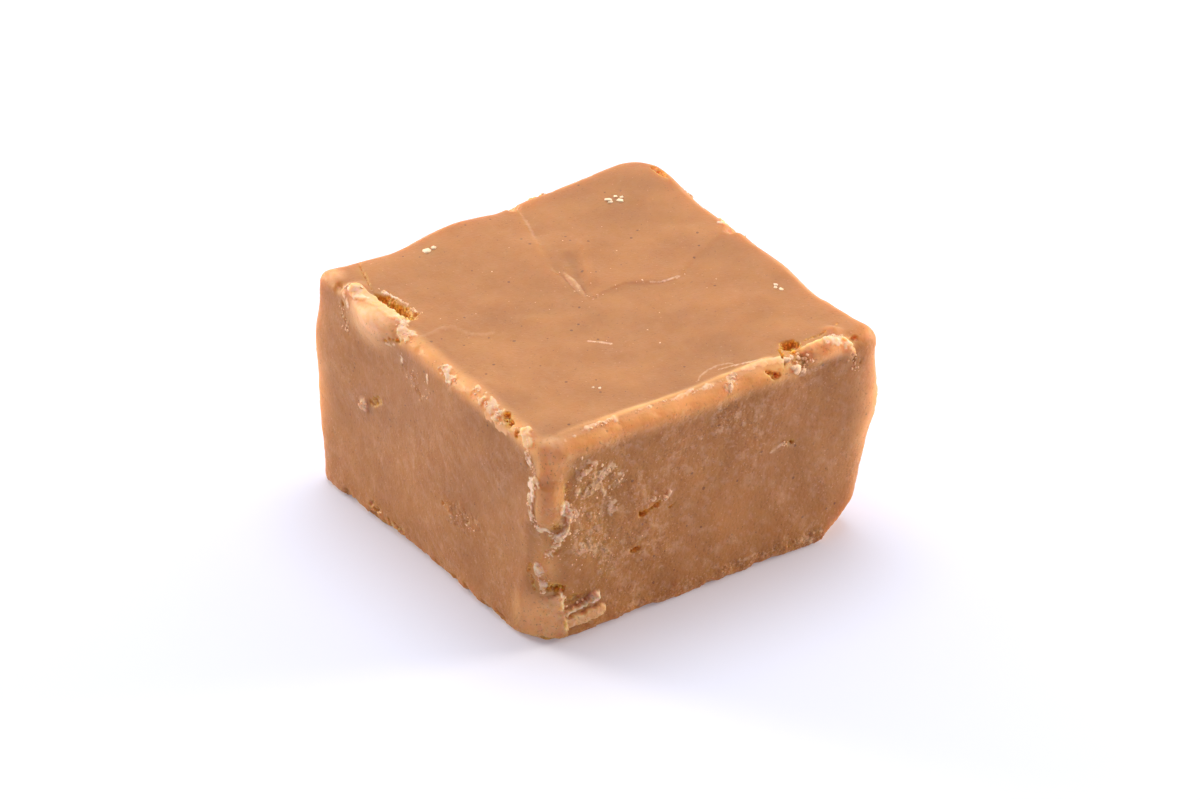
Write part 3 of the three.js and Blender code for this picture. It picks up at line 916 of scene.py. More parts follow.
# The two back sides, cut and crumbled like the others.
BACK_FACES = (
    lip(((-10.0, 19.0, 20.8), (-4.0, 19.0, 21.2), (1.0, 18.9, 21.5)), 0.55, 0.16, pale=0.35, grain=0.6,
        ragged=0.4, ragged_size=0.7, detail=2),
    lip(((7.0, 19.1, 21.9), (13.0, 19.2, 22.3)), 0.5, 0.18, pale=0.5, grain=0.6, ragged=0.35,
        ragged_size=0.6, detail=2),
    dome(((-6.0, 19.2, 12.0),), 1.0, -0.14, grain=0.9, amber=0.1, squash=(4.2, 1.2, 3.4), ragged=0.35,
        ragged_size=1.8, detail=2),
    gash(((-7.4, 19.3, 13.1), (-6.2, 19.3, 12.9), (-5.4, 19.3, 12.4)), 0.24, -0.7, amber=1.0, ragged=0.12,
        taper=0.2),
    gash(((9.2, 19.0, 8.1), (10.1, 19.0, 8.5)), 0.2, -0.6, amber=0.9, ragged=0.1),
    gash(((12.2, 19.1, 15.6),), 0.5, -0.3, amber=0.5, grain=0.6, ragged=0.2),
    lip(((2.0, 19.3, 16.6), (3.4, 19.3, 16.9)), 0.5, 0.18, pale=0.6, grain=0.5, ragged=0.24),
    stain(((-12.0, 19.0, 0.7), (12.0, 18.8, 0.7)), 0.8, 0.0, grain=0.8, ragged=0.4, ragged_size=1.5,
        detail=2),
    lip(((19.0, -8.0, 20.4), (18.9, -2.0, 20.9)), 0.5, 0.18, pale=0.45, grain=0.6, ragged=0.4,
        ragged_size=0.7, detail=2),
    lip(((18.8, 6.0, 21.6), (18.9, 11.0, 21.9)), 0.45, 0.16, pale=0.4, grain=0.6, ragged=0.35,
        ragged_size=0.6, detail=2),
    dome(((19.3, 4.0, 9.5),), 1.0, -0.12, grain=0.9, amber=0.1, squash=(1.2, 4.6, 3.6), ragged=0.35,
        ragged_size=1.8, detail=2),
    gash(((19.3, 5.0, 10.5), (19.3, 3.9, 10.2), (19.3, 3.3, 10.5)), 0.24, -0.8, amber=1.0, ragged=0.12,
        taper=0.2),
    gash(((19.1, -7.2, 13.8), (19.1, -7.9, 14.4)), 0.2, -0.5, amber=0.9, ragged=0.1),
    gash(((18.8, 12.4, 6.0),), 0.45, -0.3, amber=0.5, grain=0.6, ragged=0.2),
    lip(((19.3, -3.0, 17.0), (19.3, -4.6, 16.7)), 0.45, 0.18, pale=0.6, grain=0.5, ragged=0.24),
    stain(((18.6, -10.0, 0.7), (18.6, 13.0, 0.7)), 0.8, 0.0, grain=0.8, ragged=0.4, ragged_size=1.5,
        detail=2),
    lip(((18.4, 18.4, 17.0), (18.4, 18.4, 12.0), (18.2, 18.3, 9.0)), 0.8, 0.14, grain=0.5, pale=0.2,
        ragged=0.5, ragged_size=1.0, detail=2),
    lip(((-18.6, 18.7, 15.0), (-18.6, 18.6, 9.0)), 0.4, 0.1, grain=0.4, pale=0.2, ragged=0.4,
        ragged_size=0.9, detail=2),
    lip(((18.9, -18.3, 17.5), (18.9, -18.4, 11.0)), 0.4, 0.1, grain=0.5, pale=0.35, ragged=0.35,
        ragged_size=0.6, detail=2),
)

FEATURES = (
    *LEFT_GASH, *TOP_LEFT_EDGE, *FRONT_CORNER, *FRONT_FACE, *TOP_FRONT_EDGE, *RIGHT_HOLE, *TOP_FACE,
    *LEFT_FACE, *BACK_FACES, *PAINTED_GLOW_EDGES,
)


# ---------------------------------------------------------------------------------------------------------
# Materials
# ---------------------------------------------------------------------------------------------------------


def add_node(
    tree: bpy.types.NodeTree, kind: str, settings: dict[str, object] | None = None, **inputs: object
) -> bpy.types.Node:
    """Adds a shader node.

    Args:
        tree: the material's node tree.
        kind: the node's type, without its ShaderNode prefix.
        settings: the node's own properties.
        **inputs: values or output sockets for its inputs, named as the sockets with _ for spaces, or
            input_ and the socket's number where sockets share a name.

    Returns:
        The new node.
    """
    node = tree.nodes.new(f"ShaderNode{kind}")
    for name, value in (settings or {}).items():
        setattr(node, name, value)
    for name, value in inputs.items():
        if name.startswith("input_"):
            socket = node.inputs[int(name.removeprefix("input_"))]
        else:
            socket = node.inputs[name.replace("_", " ")]
        if isinstance(value, bpy.types.NodeSocket):
            tree.links.new(value, socket)
        else:
            socket.default_value = value
    return node


def per_mm(size: float) -> float:
    """The scale of a texture whose pattern is that many millimetres wide."""
    return 1.0 / (size * MM)


BLEND = {"data_type": "RGBA"}  # for a Mix node, whose share and two colours are its inputs 0, 6 and 7
TIMES = {"operation": "MULTIPLY"}
TIMES_CLAMPED = {"operation": "MULTIPLY", "use_clamp": True}
TIMES_PLUS = {"operation": "MULTIPLY_ADD"}


@dataclass(frozen=True)
class Ground:
    """What a material's patterns lie on: its node tree, the pattern coordinates and the painted marks."""

    tree: bpy.types.NodeTree
    place: bpy.types.NodeSocket
    marks: dict[str, bpy.types.NodeSocket]


@dataclass(frozen=True)
class Specks:
    """Scattered round specks.

    spacing is in millimetres, size is the radius of the largest as a share of the spacing, and
    strength is how much of the colour under them they hide.
    """

    spacing: float
    size: float
    tone: str
    strength: float


@dataclass(frozen=True)
class Sand:
    """Grains too fine to model, thicker where the surface is marked as grainy.

    shift moves the pattern, in metres, level is how high the noise has to be on smooth skin, and
    strength is how much of the colour under them they hide.
    """

    shift: float
    tone: str
    level: float
    strength: float


@dataclass(frozen=True)
class FudgeFinish:
    """Butter fudge, boiled, beaten, poured and cut: waxy, matt to satin, and faintly translucent.

    Light soaks in and comes out warmer along the edges, and a painted glow there adds to it. Where it
    is torn it is grainy, and it turns amber in the depths, an amber that is partly painted shade, and
    pale where crumbs have dried. Sizes are in millimetres, apart from pattern_shift, which is in metres.
    """

    name: str = "poured_butter_fudge"
    tones: tuple[str, str, str] = ("#b17235", "#b8783a", "#bf7f40")
    tone_stops: tuple[float, float, float] = (0.32, 0.5, 0.68)
    # amber for torn places; in hollows it is partly painted shade
    amber: tuple[str, str] = ("#bd7a1a", "#f7c35e")
    pale: str = "#f9d5b6"
    # the colour of the painted glow along edges and corners
    rim: str = "#f3b06a"
    specks: tuple[Specks, ...] = (
        Specks(1.3, 0.13, "#7a4a28", 0.85),  # burnt milk
        Specks(0.91, 0.085, "#ffd4a4", 0.2),  # sugar
    )
    sand: tuple[Sand, ...] = (
        Sand(0.0, "#7a4a28", 0.66, 0.5),  # pores
        Sand(0.5, "#ffd4a4", 0.72, 0.34),  # sugar grains
    )
    sand_slope: float = 6.0
    pattern_shift: Point = (0.1, 0.1, 0.1)
    mottle: float = 5.0
    sheen: float = 2.0
    grain: float = 0.28
    crystal: float = 0.42
    crystal_depth: float = -2.5
    grit: float = 0.22
    torn_level: float = 0.42
    torn_slope: float = 4.0
    bump: float = 0.09
    bump_strength: float = 0.5
    roughness: float = 0.5
    roughness_range: tuple[float, float] = (-0.06, 0.08)
    dry_roughness: float = 0.3
    refraction: float = 1.46
    translucency: float = 0.9
    glow: Point = (3.8, 1.8, 0.6)
    dry_glow: float = 0.12

    def make(self) -> bpy.types.Material:
        """Builds the material.

        Returns:
            The finished material.
        """
        material = bpy.data.materials.new(self.name)
        material.use_nodes = True
        tree = material.node_tree
        tree.nodes.clear()
        spot = add_node(tree, "TexCoord").outputs["Object"]
        place = add_node(tree, "Mapping", Vector=spot, Location=self.pattern_shift).outputs["Vector"]
        marks = {
            mark: add_node(tree, "Attribute", {"attribute_name": mark}).outputs["Fac"] for mark in MARKS
        }
        ground = Ground(tree, place, marks)
        shader = add_node(
            tree, "BsdfPrincipled",
            Base_Color=self.colour(ground),
            Roughness=self.gloss(ground),
            Normal=self.relief(ground),
            IOR=self.refraction,
            Subsurface_Weight=self.translucency,
            Subsurface_Radius=tuple(mm * MM for mm in self.glow),
            Subsurface_Scale=self.depth(ground),
        )
        add_node(tree, "OutputMaterial", Surface=shader.outputs["BSDF"])
        return material

    def colour(self, ground: Ground) -> bpy.types.NodeSocket:
        """Slow mottling and specks, then the painted glow along edges, amber depths that are partly painted
        shade, pale crumbs and sand.

        Args:
            ground: what the patterns lie on.

        Returns:
            The colour socket.
        """
        tree = ground.tree
        cloud = add_node(tree, "TexNoise", Vector=ground.place, Scale=per_mm(self.mottle), Detail=5.0,
                         Roughness=0.62)
        ramp = add_node(tree, "ValToRGB", Fac=cloud.outputs["Fac"])
        ramp.color_ramp.elements.new(0.5)
        for stop, position, tone in zip(ramp.color_ramp.elements, self.tone_stops, self.tones):
            stop.position = position
            stop.color = linear(tone)
        colour = self.speckled(ground, ramp.outputs["Color"])
        grit = add_node(tree, "TexNoise", Vector=ground.place, Scale=per_mm(self.grit), Detail=1.0)
        lit = self.above(tree, grit.outputs["Fac"], self.torn_level, self.torn_slope)
        dark, light = (linear(tone) for tone in self.amber)
        torn = add_node(tree, "Mix", BLEND, input_0=lit, input_6=dark, input_7=light).outputs[2]
        # the painted glow, amber that is partly painted shade, and the pale of dry crumbs, which in a few
        # places is a painted highlight
        for mark, over in (("rim", linear(self.rim)), ("amber", torn), ("pale", linear(self.pale))):
            mix = add_node(tree, "Mix", BLEND, input_0=ground.marks[mark], input_6=colour, input_7=over)
            colour = mix.outputs[2]
        return self.sandy(ground, colour)

    def speckled(self, ground: Ground, colour: bpy.types.NodeSocket) -> bpy.types.NodeSocket:
        """Scatters specks of burnt milk and of sugar over a colour.

        Args:
            ground: what the patterns lie on.
            colour: the colour under the specks.

        Returns:
            The colour socket.
        """
        tree = ground.tree
        for specks in self.specks:
            cells = add_node(tree, "TexVoronoi", Vector=ground.place, Scale=per_mm(specks.spacing))
            pick = add_node(tree, "SeparateColor", Color=cells.outputs["Color"])
            reach = add_node(tree, "Math", TIMES, input_0=pick.outputs["Red"], input_1=specks.size)
            near = add_node(tree, "Math", {"operation": "LESS_THAN"}, input_0=cells.outputs["Distance"],
                            input_1=reach.outputs[0])
            share = add_node(tree, "Math", TIMES, input_0=near.outputs[0], input_1=specks.strength)
            mix = add_node(tree, "Mix", BLEND, input_0=share.outputs[0], input_6=colour,
                           input_7=linear(specks.tone))
            colour = mix.outputs[2]
        return colour

    def sandy(self, ground: Ground, colour: bpy.types.NodeSocket) -> bpy.types.NodeSocket:
        """Strews fine dark pores and pale sugar grains over a colour, thickest where it is grainy.

        Args:
            ground: what the patterns lie on.
            colour: the colour under the grains.

        Returns:
            The colour socket.
        """
        tree = ground.tree
        for sand in self.sand:
            moved = add_node(tree, "Mapping", Vector=ground.place, Location=(sand.shift, sand.shift, 0.0))
            noise = add_node(tree, "TexNoise", Vector=moved.outputs["Vector"], Scale=per_mm(self.grit),
                             Detail=1.0)
            level = add_node(tree, "MapRange", Value=ground.marks["grain"], To_Min=sand.level, To_Max=0.5)
            lit = self.above(tree, noise.outputs["Fac"], level.outputs["Result"], self.sand_slope)
            share = add_node(tree, "Math", TIMES, input_0=lit, input_1=sand.strength)
            mix = add_node(tree, "Mix", BLEND, input_0=share.outputs[0], input_6=colour,
                           input_7=linear(sand.tone))
            colour = mix.outputs[2]
        return colour

    def above(
        self, tree: bpy.types.NodeTree, value: bpy.types.NodeSocket, low: bpy.types.NodeSocket | float,
        slope: float,
    ) -> bpy.types.NodeSocket:
        """How far a value rises above a level.

        Args:
            tree: the material's node tree.
            value: the value, such as a noise.
            low: the level.
            slope: how fast the share grows above the level.

        Returns:
            The socket of the share, from 0 to 1.
        """
        rise = add_node(tree, "Math", {"operation": "SUBTRACT"}, input_0=value, input_1=low)
        return add_node(tree, "Math", TIMES_CLAMPED, input_0=rise.outputs[0], input_1=slope).outputs[0]

    def gloss(self, ground: Ground) -> bpy.types.NodeSocket:
        """Satin on the cut faces, drier where crumbs have dried.

        Args:
            ground: what the patterns lie on.

        Returns:
            The roughness socket.
        """
        tree = ground.tree
        low, high = self.roughness_range
        cloud = add_node(tree, "TexNoise", Vector=ground.place, Scale=per_mm(self.sheen), Detail=3.0)
        smooth = add_node(tree, "MapRange", Value=cloud.outputs["Fac"], From_Min=0.3, From_Max=0.7,
                          To_Min=self.roughness + low, To_Max=self.roughness + high)
        dry = add_node(tree, "Math", TIMES_PLUS | {"use_clamp": True}, input_0=ground.marks["pale"],
                       input_1=self.dry_roughness, input_2=smooth.outputs["Result"])
        return dry.outputs[0]

    def depth(self, ground: Ground) -> bpy.types.NodeSocket:
        """How far light soaks in: all the way where the fudge is sound, hardly at all in dry crumbs.

        Args:
            ground: what the patterns lie on.

        Returns:
            The socket of the glow's scale.
        """
        dry = add_node(ground.tree, "Math", {"operation": "MAXIMUM"}, input_0=ground.marks["pale"],
                       input_1=ground.marks["grain"])
        depth = add_node(ground.tree, "MapRange", Value=dry.outputs[0], To_Min=1.0, To_Max=self.dry_glow)
        return depth.outputs["Result"]

    def relief(self, ground: Ground) -> bpy.types.NodeSocket:
        """The finest grain, deeper where the surface is torn.

        Args:
            ground: what the patterns lie on.

        Returns:
            The normal socket.
        """
        tree = ground.tree
        grain = add_node(tree, "TexNoise", Vector=ground.place, Scale=per_mm(self.grain), Detail=3.0)
        crystal = add_node(tree, "TexVoronoi", Vector=ground.place, Scale=per_mm(self.crystal))
        share = add_node(tree, "Math", TIMES, input_0=crystal.outputs["Distance"],
                         input_1=ground.marks["grain"])
        height = add_node(tree, "Math", TIMES_PLUS, input_0=share.outputs[0],
                          input_1=self.crystal_depth, input_2=grain.outputs["Fac"])
        bump = add_node(tree, "Bump", Height=height.outputs[0], Strength=self.bump_strength,
                        Distance=self.bump * MM)
        return bump.outputs["Normal"]


@dataclass(frozen=True)
class CrumbFinish:
    """Fudge dried out in small crumbs: paler and drier than the block, no two quite alike.

    A faint amber glow stands for the light that passes through such thin grains. Sizes are in
    millimetres.
    """

    name: str = "dried_fudge_crumb"
    tones: tuple[str, str] = ("#dda46f", "#f5d3b0")
    roughness: float = 0.62
    grain: float = 0.12
    bump: float = 0.03
    bump_strength: float = 0.4
    refraction: float = 1.5
    translucency: float = 0.3
    glow: Point = (0.12, 0.1, 0.08)
    through: str = "#d88b45"
    through_strength: float = 0.16

    def make(self) -> bpy.types.Material:
        """Builds the material.

        Returns:
            The finished material.
        """
        material = bpy.data.materials.new(self.name)
        material.use_nodes = True
        tree = material.node_tree
        tree.nodes.clear()
        place = add_node(tree, "TexCoord").outputs["Object"]
        tone = add_node(tree, "Attribute", {"attribute_name": "tone"}).outputs["Fac"]
        low, high = (linear(code) for code in self.tones)
        colour = add_node(tree, "Mix", BLEND, input_0=tone, input_6=low, input_7=high)
        grain = add_node(tree, "TexNoise", Vector=place, Scale=per_mm(self.grain), Detail=2.0)
        bump = add_node(tree, "Bump", Height=grain.outputs["Fac"], Strength=self.bump_strength,
                        Distance=self.bump * MM)
        shader = add_node(
            tree, "BsdfPrincipled",
            Base_Color=colour.outputs[2],
            Roughness=self.roughness,
            Normal=bump.outputs["Normal"],
            IOR=self.refraction,
            Subsurface_Weight=self.translucency,
            Subsurface_Radius=tuple(mm * MM for mm in self.glow),
            Subsurface_Scale=1.0,
            Emission_Color=linear(self.through),
            Emission_Strength=self.through_strength,
        )
        add_node(tree, "OutputMaterial", Surface=shader.outputs["BSDF"])
        return material


@dataclass(frozen=True)
class FloorFinish:
    """White opal acrylic lit faintly from below: a plain pale ground that takes a soft lavender shadow."""

    name: str = "white_opal_acrylic"
    colour: str = "#dadce8"
    glow: str = "#f4f0ff"
    glow_strength: float = 0.2
    roughness: float = 0.9
    specular: float = 0.2

    def make(self) -> bpy.types.Material:
        """Builds the material, without patterns because it isn't part of the object.

        Returns:
            The finished material.
        """
        material = bpy.data.materials.new(self.name)
        material.use_nodes = True
        shader = material.node_tree.nodes["Principled BSDF"]
        for socket, value in (
            ("Base Color", linear(self.colour)),
            ("Roughness", self.roughness),
            ("Specular IOR Level", self.specular),
            ("Emission Color", linear(self.glow)),
            ("Emission Strength", self.glow_strength),
        ):
            shader.inputs[socket].default_value = value
        return material


# ---------------------------------------------------------------------------------------------------------
# The pieces
# ---------------------------------------------------------------------------------------------------------


def place_piece(
    mesh: bpy.types.Mesh, name: str, material: bpy.types.Material
) -> bpy.types.Object:
    """Puts a finished mesh in the scene as a piece that rides on the block's body.

    Args:
        mesh: the finished mesh, in metres.
        name: the piece's name.
        material: its only material.

    Returns:
        The new object.
    """
    mesh.materials.append(material)
    mesh.polygons.foreach_set("use_smooth", np.ones(len(mesh.polygons), bool))
    piece = bpy.data.objects.new(name, mesh)
    bpy.context.scene.collection.objects.link(piece)
    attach(piece, BODY)
    return piece


def read_vectors(mesh: bpy.types.Mesh, name: str) -> np.ndarray:
    """Reads a vertex property of three numbers.

    Args:
        mesh: the mesh.
        name: the property, such as co or normal.

    Returns:
        One row for each vertex.
    """
    values = np.empty(len(mesh.vertices) * 3, np.float32)
    mesh.vertices.foreach_get(name, values)
    return values.reshape(-1, 3).astype(float)


@dataclass(frozen=True)
class Skin:
    """The block's everyday surface, and how it crumbles where it is grainy, in millimetres.

    Sound skin has soft swells, dimples and a fine grain, and its edges are nibbled and carry a painted
    glow. Grainy places break into round grains and thin flakes, amber in the hollows that is partly
    painted shade, and pale on some grains.
    """

    form: SlabForm = SlabForm()
    swells: Ripple = Ripple(3.6, 3, 2)
    swell_height: float = 0.07
    dimples: Ripple = Ripple(1.1, 5)
    dimple_height: float = 0.02
    fine: Ripple = Ripple(0.9, 9)
    fine_height: float = 0.01
    nibbles: Ripple = Ripple(1.3, 31, 2)
    nibble_depth: float = 0.13
    nibble_reach: float = 0.9
    top_nibble_loss: float = 0.6
    top_sand: float = 0.06
    side_sand: float = 0.17
    front_sand: float = 0.13
    base_sand: float = 0.12
    patches: Ripple = Ripple(4.0, 47, 2)
    patch_strength: float = 0.5
    pebbles: Pebbles = Pebbles(0.34, 17)
    grain_height: float = 0.09
    flakes: Ripple = Ripple(0.9, 23, 2)
    flake_layers: float = 3.0
    flake_height: float = 0.14
    # where the hollows between grains take amber, which is partly painted shade
    hollows: Ripple = Ripple(0.8, 71)
    hollow_amber_shade: float = 0.4
    dried: Ripple = Ripple(0.6, 57, 2)
    dried_pale: float = 0.4
    blotches: Ripple = Ripple(0.3, 91, 2)
    # the wobble, strength and reach of the painted glow along the edges
    thin: Ripple = Ripple(1.6, 61, 2)
    thin_rim: float = 0.35
    edge_glow_reach: float = 1.5

    def unevenness(self, points: np.ndarray, rest: np.ndarray) -> np.ndarray:
        """The height of the sound skin.

        Args:
            points: the slab's vertices.
            rest: the same vertices on the sharp box.

        Returns:
            One height for each vertex.
        """
        soft = self.swell_height * self.swells.over(points) + self.dimple_height * self.dimples.over(points)
        on_top = smoothstep(0.0, 0.5, rest[:, 2] - (self.form.height - 0.5))
        by_edge = 1.0 - smoothstep(0.0, self.nibble_reach, self.form.edge_gap(rest))
        nibble = -self.nibble_depth * smoothstep(0.15, 0.6, self.nibbles.over(points)) * by_edge
        kept = 1.0 - self.top_nibble_loss * on_top
        return soft + self.fine_height * self.fine.over(points) + nibble * kept

    def sandiness(self, points: np.ndarray, rest: np.ndarray) -> np.ndarray:
        """How grainy the sound skin is: hardly on the poured top, more on the cut sides and by the base.

        Args:
            points: the slab's vertices.
            rest: the same vertices on the sharp box.

        Returns:
            One share for each vertex.
        """
        side = smoothstep(0.2, 1.5, self.form.height - rest[:, 2])
        front = smoothstep(-17.0, -18.0, rest[:, 1])
        base = 1.0 - smoothstep(0.0, 4.0, rest[:, 2])
        sand = self.side_sand + self.front_sand * front + self.base_sand * base
        return (self.top_sand + side * sand) * (1.0 + self.patch_strength * self.patches.over(points))

    def painted_edge_glow(self, points: np.ndarray, rest: np.ndarray) -> np.ndarray:
        """How strongly a painted glow lightens the skin along the edges, standing in for light that comes
        through, fading out towards the base.

        Args:
            points: the slab's vertices.
            rest: the same vertices on the sharp box.

        Returns:
            One share for each vertex.
        """
        by_edge = 1.0 - smoothstep(0.0, self.edge_glow_reach, self.form.edge_gap(rest))
        return self.thin_rim * by_edge * smoothstep(3.0, 8.0, rest[:, 2])

    def weather(self, points: np.ndarray, rest: np.ndarray, marks: dict[str, np.ndarray]) -> np.ndarray:
        """Adds the skin's own marks to those of the features, and crumbles the grainy places.

        Args:
            points: the slab's vertices.
            rest: the same vertices on the sharp box.
            marks: the painted marks by name, which change.

        Returns:
            The height of the crumbled grains and flakes at each vertex.
        """
        marks["grain"] = np.maximum(marks["grain"], self.sandiness(points, rest))
        marks["pale"] *= 0.5 + 0.5 * smoothstep(-0.3, 0.3, self.blotches.over(points))
        gap = self.pebbles.gap(points)
        grains = np.clip(1.0 - gap**2, 0.0, 1.0)
        steps = self.flake_layers * self.flakes.over(points)
        flakes = (np.floor(steps) + smoothstep(0.3, 0.7, steps % 1.0)) / self.flake_layers
        hollow = smoothstep(0.5, 0.85, gap) * smoothstep(0.0, 0.4, self.hollows.over(points))
        # amber in the hollows between grains, partly painted shade
        marks["amber"] = np.maximum(marks["amber"], self.hollow_amber_shade * marks["grain"] * hollow)
        dry = smoothstep(0.1, 0.5, self.dried.over(points)) * smoothstep(0.35, 0.85, grains)
        marks["pale"] = np.maximum(marks["pale"], self.dried_pale * marks["grain"] * dry)
        # painted glow along the edges, standing in for light that comes through them
        rim = np.maximum(marks["rim"], self.painted_edge_glow(points, rest))
        marks["rim"] = rim * (0.9 + 0.2 * self.thin.over(points))
        return marks["grain"] * (self.grain_height * grains + self.flake_height * flakes)


@dataclass
class FudgeBlock:
    """The block itself: the slab's form with every torn place, lip and fold in its surface.

    The mesh starts as a box with an even grid, and is refined along the edges and under the features.
    Bands are in millimetres.
    """

    name: str = "fudge_body"
    slot: str = "fudge"
    skin: Skin = Skin()
    features: tuple[Feature, ...] = FEATURES
    finish: FudgeFinish = FudgeFinish()
    plan_cuts: int = 44
    rise_cuts: int = 26
    base_band: float = 1.5
    edge_band: float = 1.1
    low_edge_band: float = 0.66
    levels: int = 3
    feature_margin: float = 0.5
    floor_height: float = 0.02

    @property
    def form(self) -> SlabForm:
        """The slab under the skin."""
        return self.skin.form

    def box_grid(self) -> bmesh.types.BMesh:
        """The sharp box that the slab is shaped from, in millimetres, with an even grid.

        Returns:
            The gridded box, standing on z = 0.
        """
        bm = bmesh.new()
        bmesh.ops.create_cube(bm, size=1.0)
        bmesh.ops.scale(bm, vec=(self.form.side, self.form.side, self.form.height), verts=bm.verts)
        bmesh.ops.translate(bm, vec=(0.0, 0.0, self.form.height / 2), verts=bm.verts)
        upright = [e for e in bm.edges if abs(e.verts[0].co.z - e.verts[1].co.z) > 1.0]
        bmesh.ops.subdivide_edges(bm, edges=upright, cuts=self.rise_cuts, use_grid_fill=True)
        level = [e for e in bm.edges if abs(e.verts[0].co.z - e.verts[1].co.z) < 0.01]
        bmesh.ops.subdivide_edges(bm, edges=level, cuts=self.plan_cuts, use_grid_fill=True)
        return bm

    def wants(self, level: int, rest: np.ndarray, spots: np.ndarray) -> np.ndarray:
        """Which faces are refined at a level.

        Args:
            level: 1 for the first halving of the grid, and so on.
            rest: the faces' middles on the sharp box.
            spots: the same middles on the slab.

        Returns:
            One flag for each face.
        """
        gap = self.form.edge_gap(rest)
        if level == 1:
            underside = rest[:, 2] < TOUCHING
            return ~underside | (gap < self.base_band)
        wanted = np.zeros(len(rest), bool)
        if level == 2:
            low = rest[:, 2] < self.edge_band
            wanted |= gap < np.where(low, self.low_edge_band, self.edge_band)
        for feature in self.features:
            if feature.detail >= level:
                wanted |= feature.reaches(spots)
        return wanted & (rest[:, 2] > TOUCHING)

    def refine(self, bm: bmesh.types.BMesh, shift: np.ndarray) -> None:
        """Halves the grid again and again under the features and along the edges.

        Args:
            bm: the gridded box, which changes.
            shift: how far the slab moves from the box's own place.
        """
        for level in range(1, self.levels + 1):
            bm.faces.ensure_lookup_table()
            rest = np.array([f.calc_center_median() for f in bm.faces])
            wanted = self.wants(level, rest, self.form.shape(rest) + shift)
            edges = {e for f, want in zip(bm.faces, wanted) if want for e in f.edges}
            bmesh.ops.subdivide_edges(bm, edges=list(edges), cuts=1, use_grid_fill=True)
            LOG.info("refined to level %d: %d faces", level, len(bm.faces))

    def shift_to_frame(self, bm: bmesh.types.BMesh) -> np.ndarray:
        """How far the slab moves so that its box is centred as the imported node's is.

        Args:
            bm: the gridded box.

        Returns:
            The move, in millimetres.
        """
        shaped = self.form.shape(np.array([v.co for v in bm.verts]))
        low, high = (np.array(corner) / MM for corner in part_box(NODE))
        shift = (low + high) / 2 - (shaped.min(0) + shaped.max(0)) / 2
        shift[2] = low[2] - shaped[:, 2].min()
        return shift

    def build(self) -> bpy.types.Object:
        """Builds, carves, paints and places the block.

        Returns:
            The block's object.
        """
        bm = self.box_grid()
        shift = self.shift_to_frame(bm)
        self.refine(bm, shift)
        mesh = bpy.data.meshes.new(self.name)
        bm.to_mesh(mesh)
        bm.free()
        rest = read_vectors(mesh, "co")
        points = self.form.shape(rest) + shift
        mesh.vertices.foreach_set("co", points.ravel())
        mesh.update()
        moved, marks = self.carve(points, read_vectors(mesh, "normal"), rest)
        mesh.vertices.foreach_set("co", (moved * MM).ravel())
        for mark, values in marks.items():
            mesh.attributes.new(mark, "FLOAT", "POINT").data.foreach_set("value", values)
        mesh.update()
        block = place_piece(mesh, self.name, self.finish.make())
        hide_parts(NODE)
        triangles = sum(len(p.vertices) - 2 for p in mesh.polygons)
        LOG.info("%s: %d triangles", self.name, triangles)
        return block

    def carve(
        self, points: np.ndarray, normals: np.ndarray, rest: np.ndarray
    ) -> tuple[np.ndarray, dict[str, np.ndarray]]:
        """Presses every feature into the slab, and the unevenness of its skin.

        Args:
            points: the slab's vertices.
            normals: their outward directions.
            rest: the same vertices on the sharp box.

        Returns:
            The moved vertices, and the painted marks by name.
        """
        offset = normals * self.skin.unevenness(points, rest)[:, None]
        marks = {mark: np.zeros(len(points)) for mark in MARKS}
        for feature in self.features:
            index = feature.near(points, self.feature_margin)
            if not len(index):
                LOG.warning("a feature at %s reaches nothing", feature.path[0])
                continue
            height, share = feature.strength(points[index])
            way = normals[index] if feature.push is None else np.array([feature.push], float)
            offset[index] += way * (feature.height * height)[:, None]
            for mark, values in marks.items():
                values[index] = np.maximum(values[index], getattr(feature.paint, mark) * share)
        offset += normals * self.skin.weather(points, rest, marks)[:, None]
        floor = (points[:, 2] < self.floor_height) & (rest[:, 2] < TOUCHING)
        offset[floor] = 0.0
        moved = points + offset
        moved[:, 2] = np.maximum(moved[:, 2], 0.0)
        return moved, marks


@dataclass(frozen=True)
class Sprinkle:
    """A scatter of crumbs about a path: how far they lie from it, how many, and how big, in millimetres."""

    path: Path
    reach: float
    count: int
    smallest: float
    largest: float
    tone: tuple[float, float] = (0.3, 1.0)


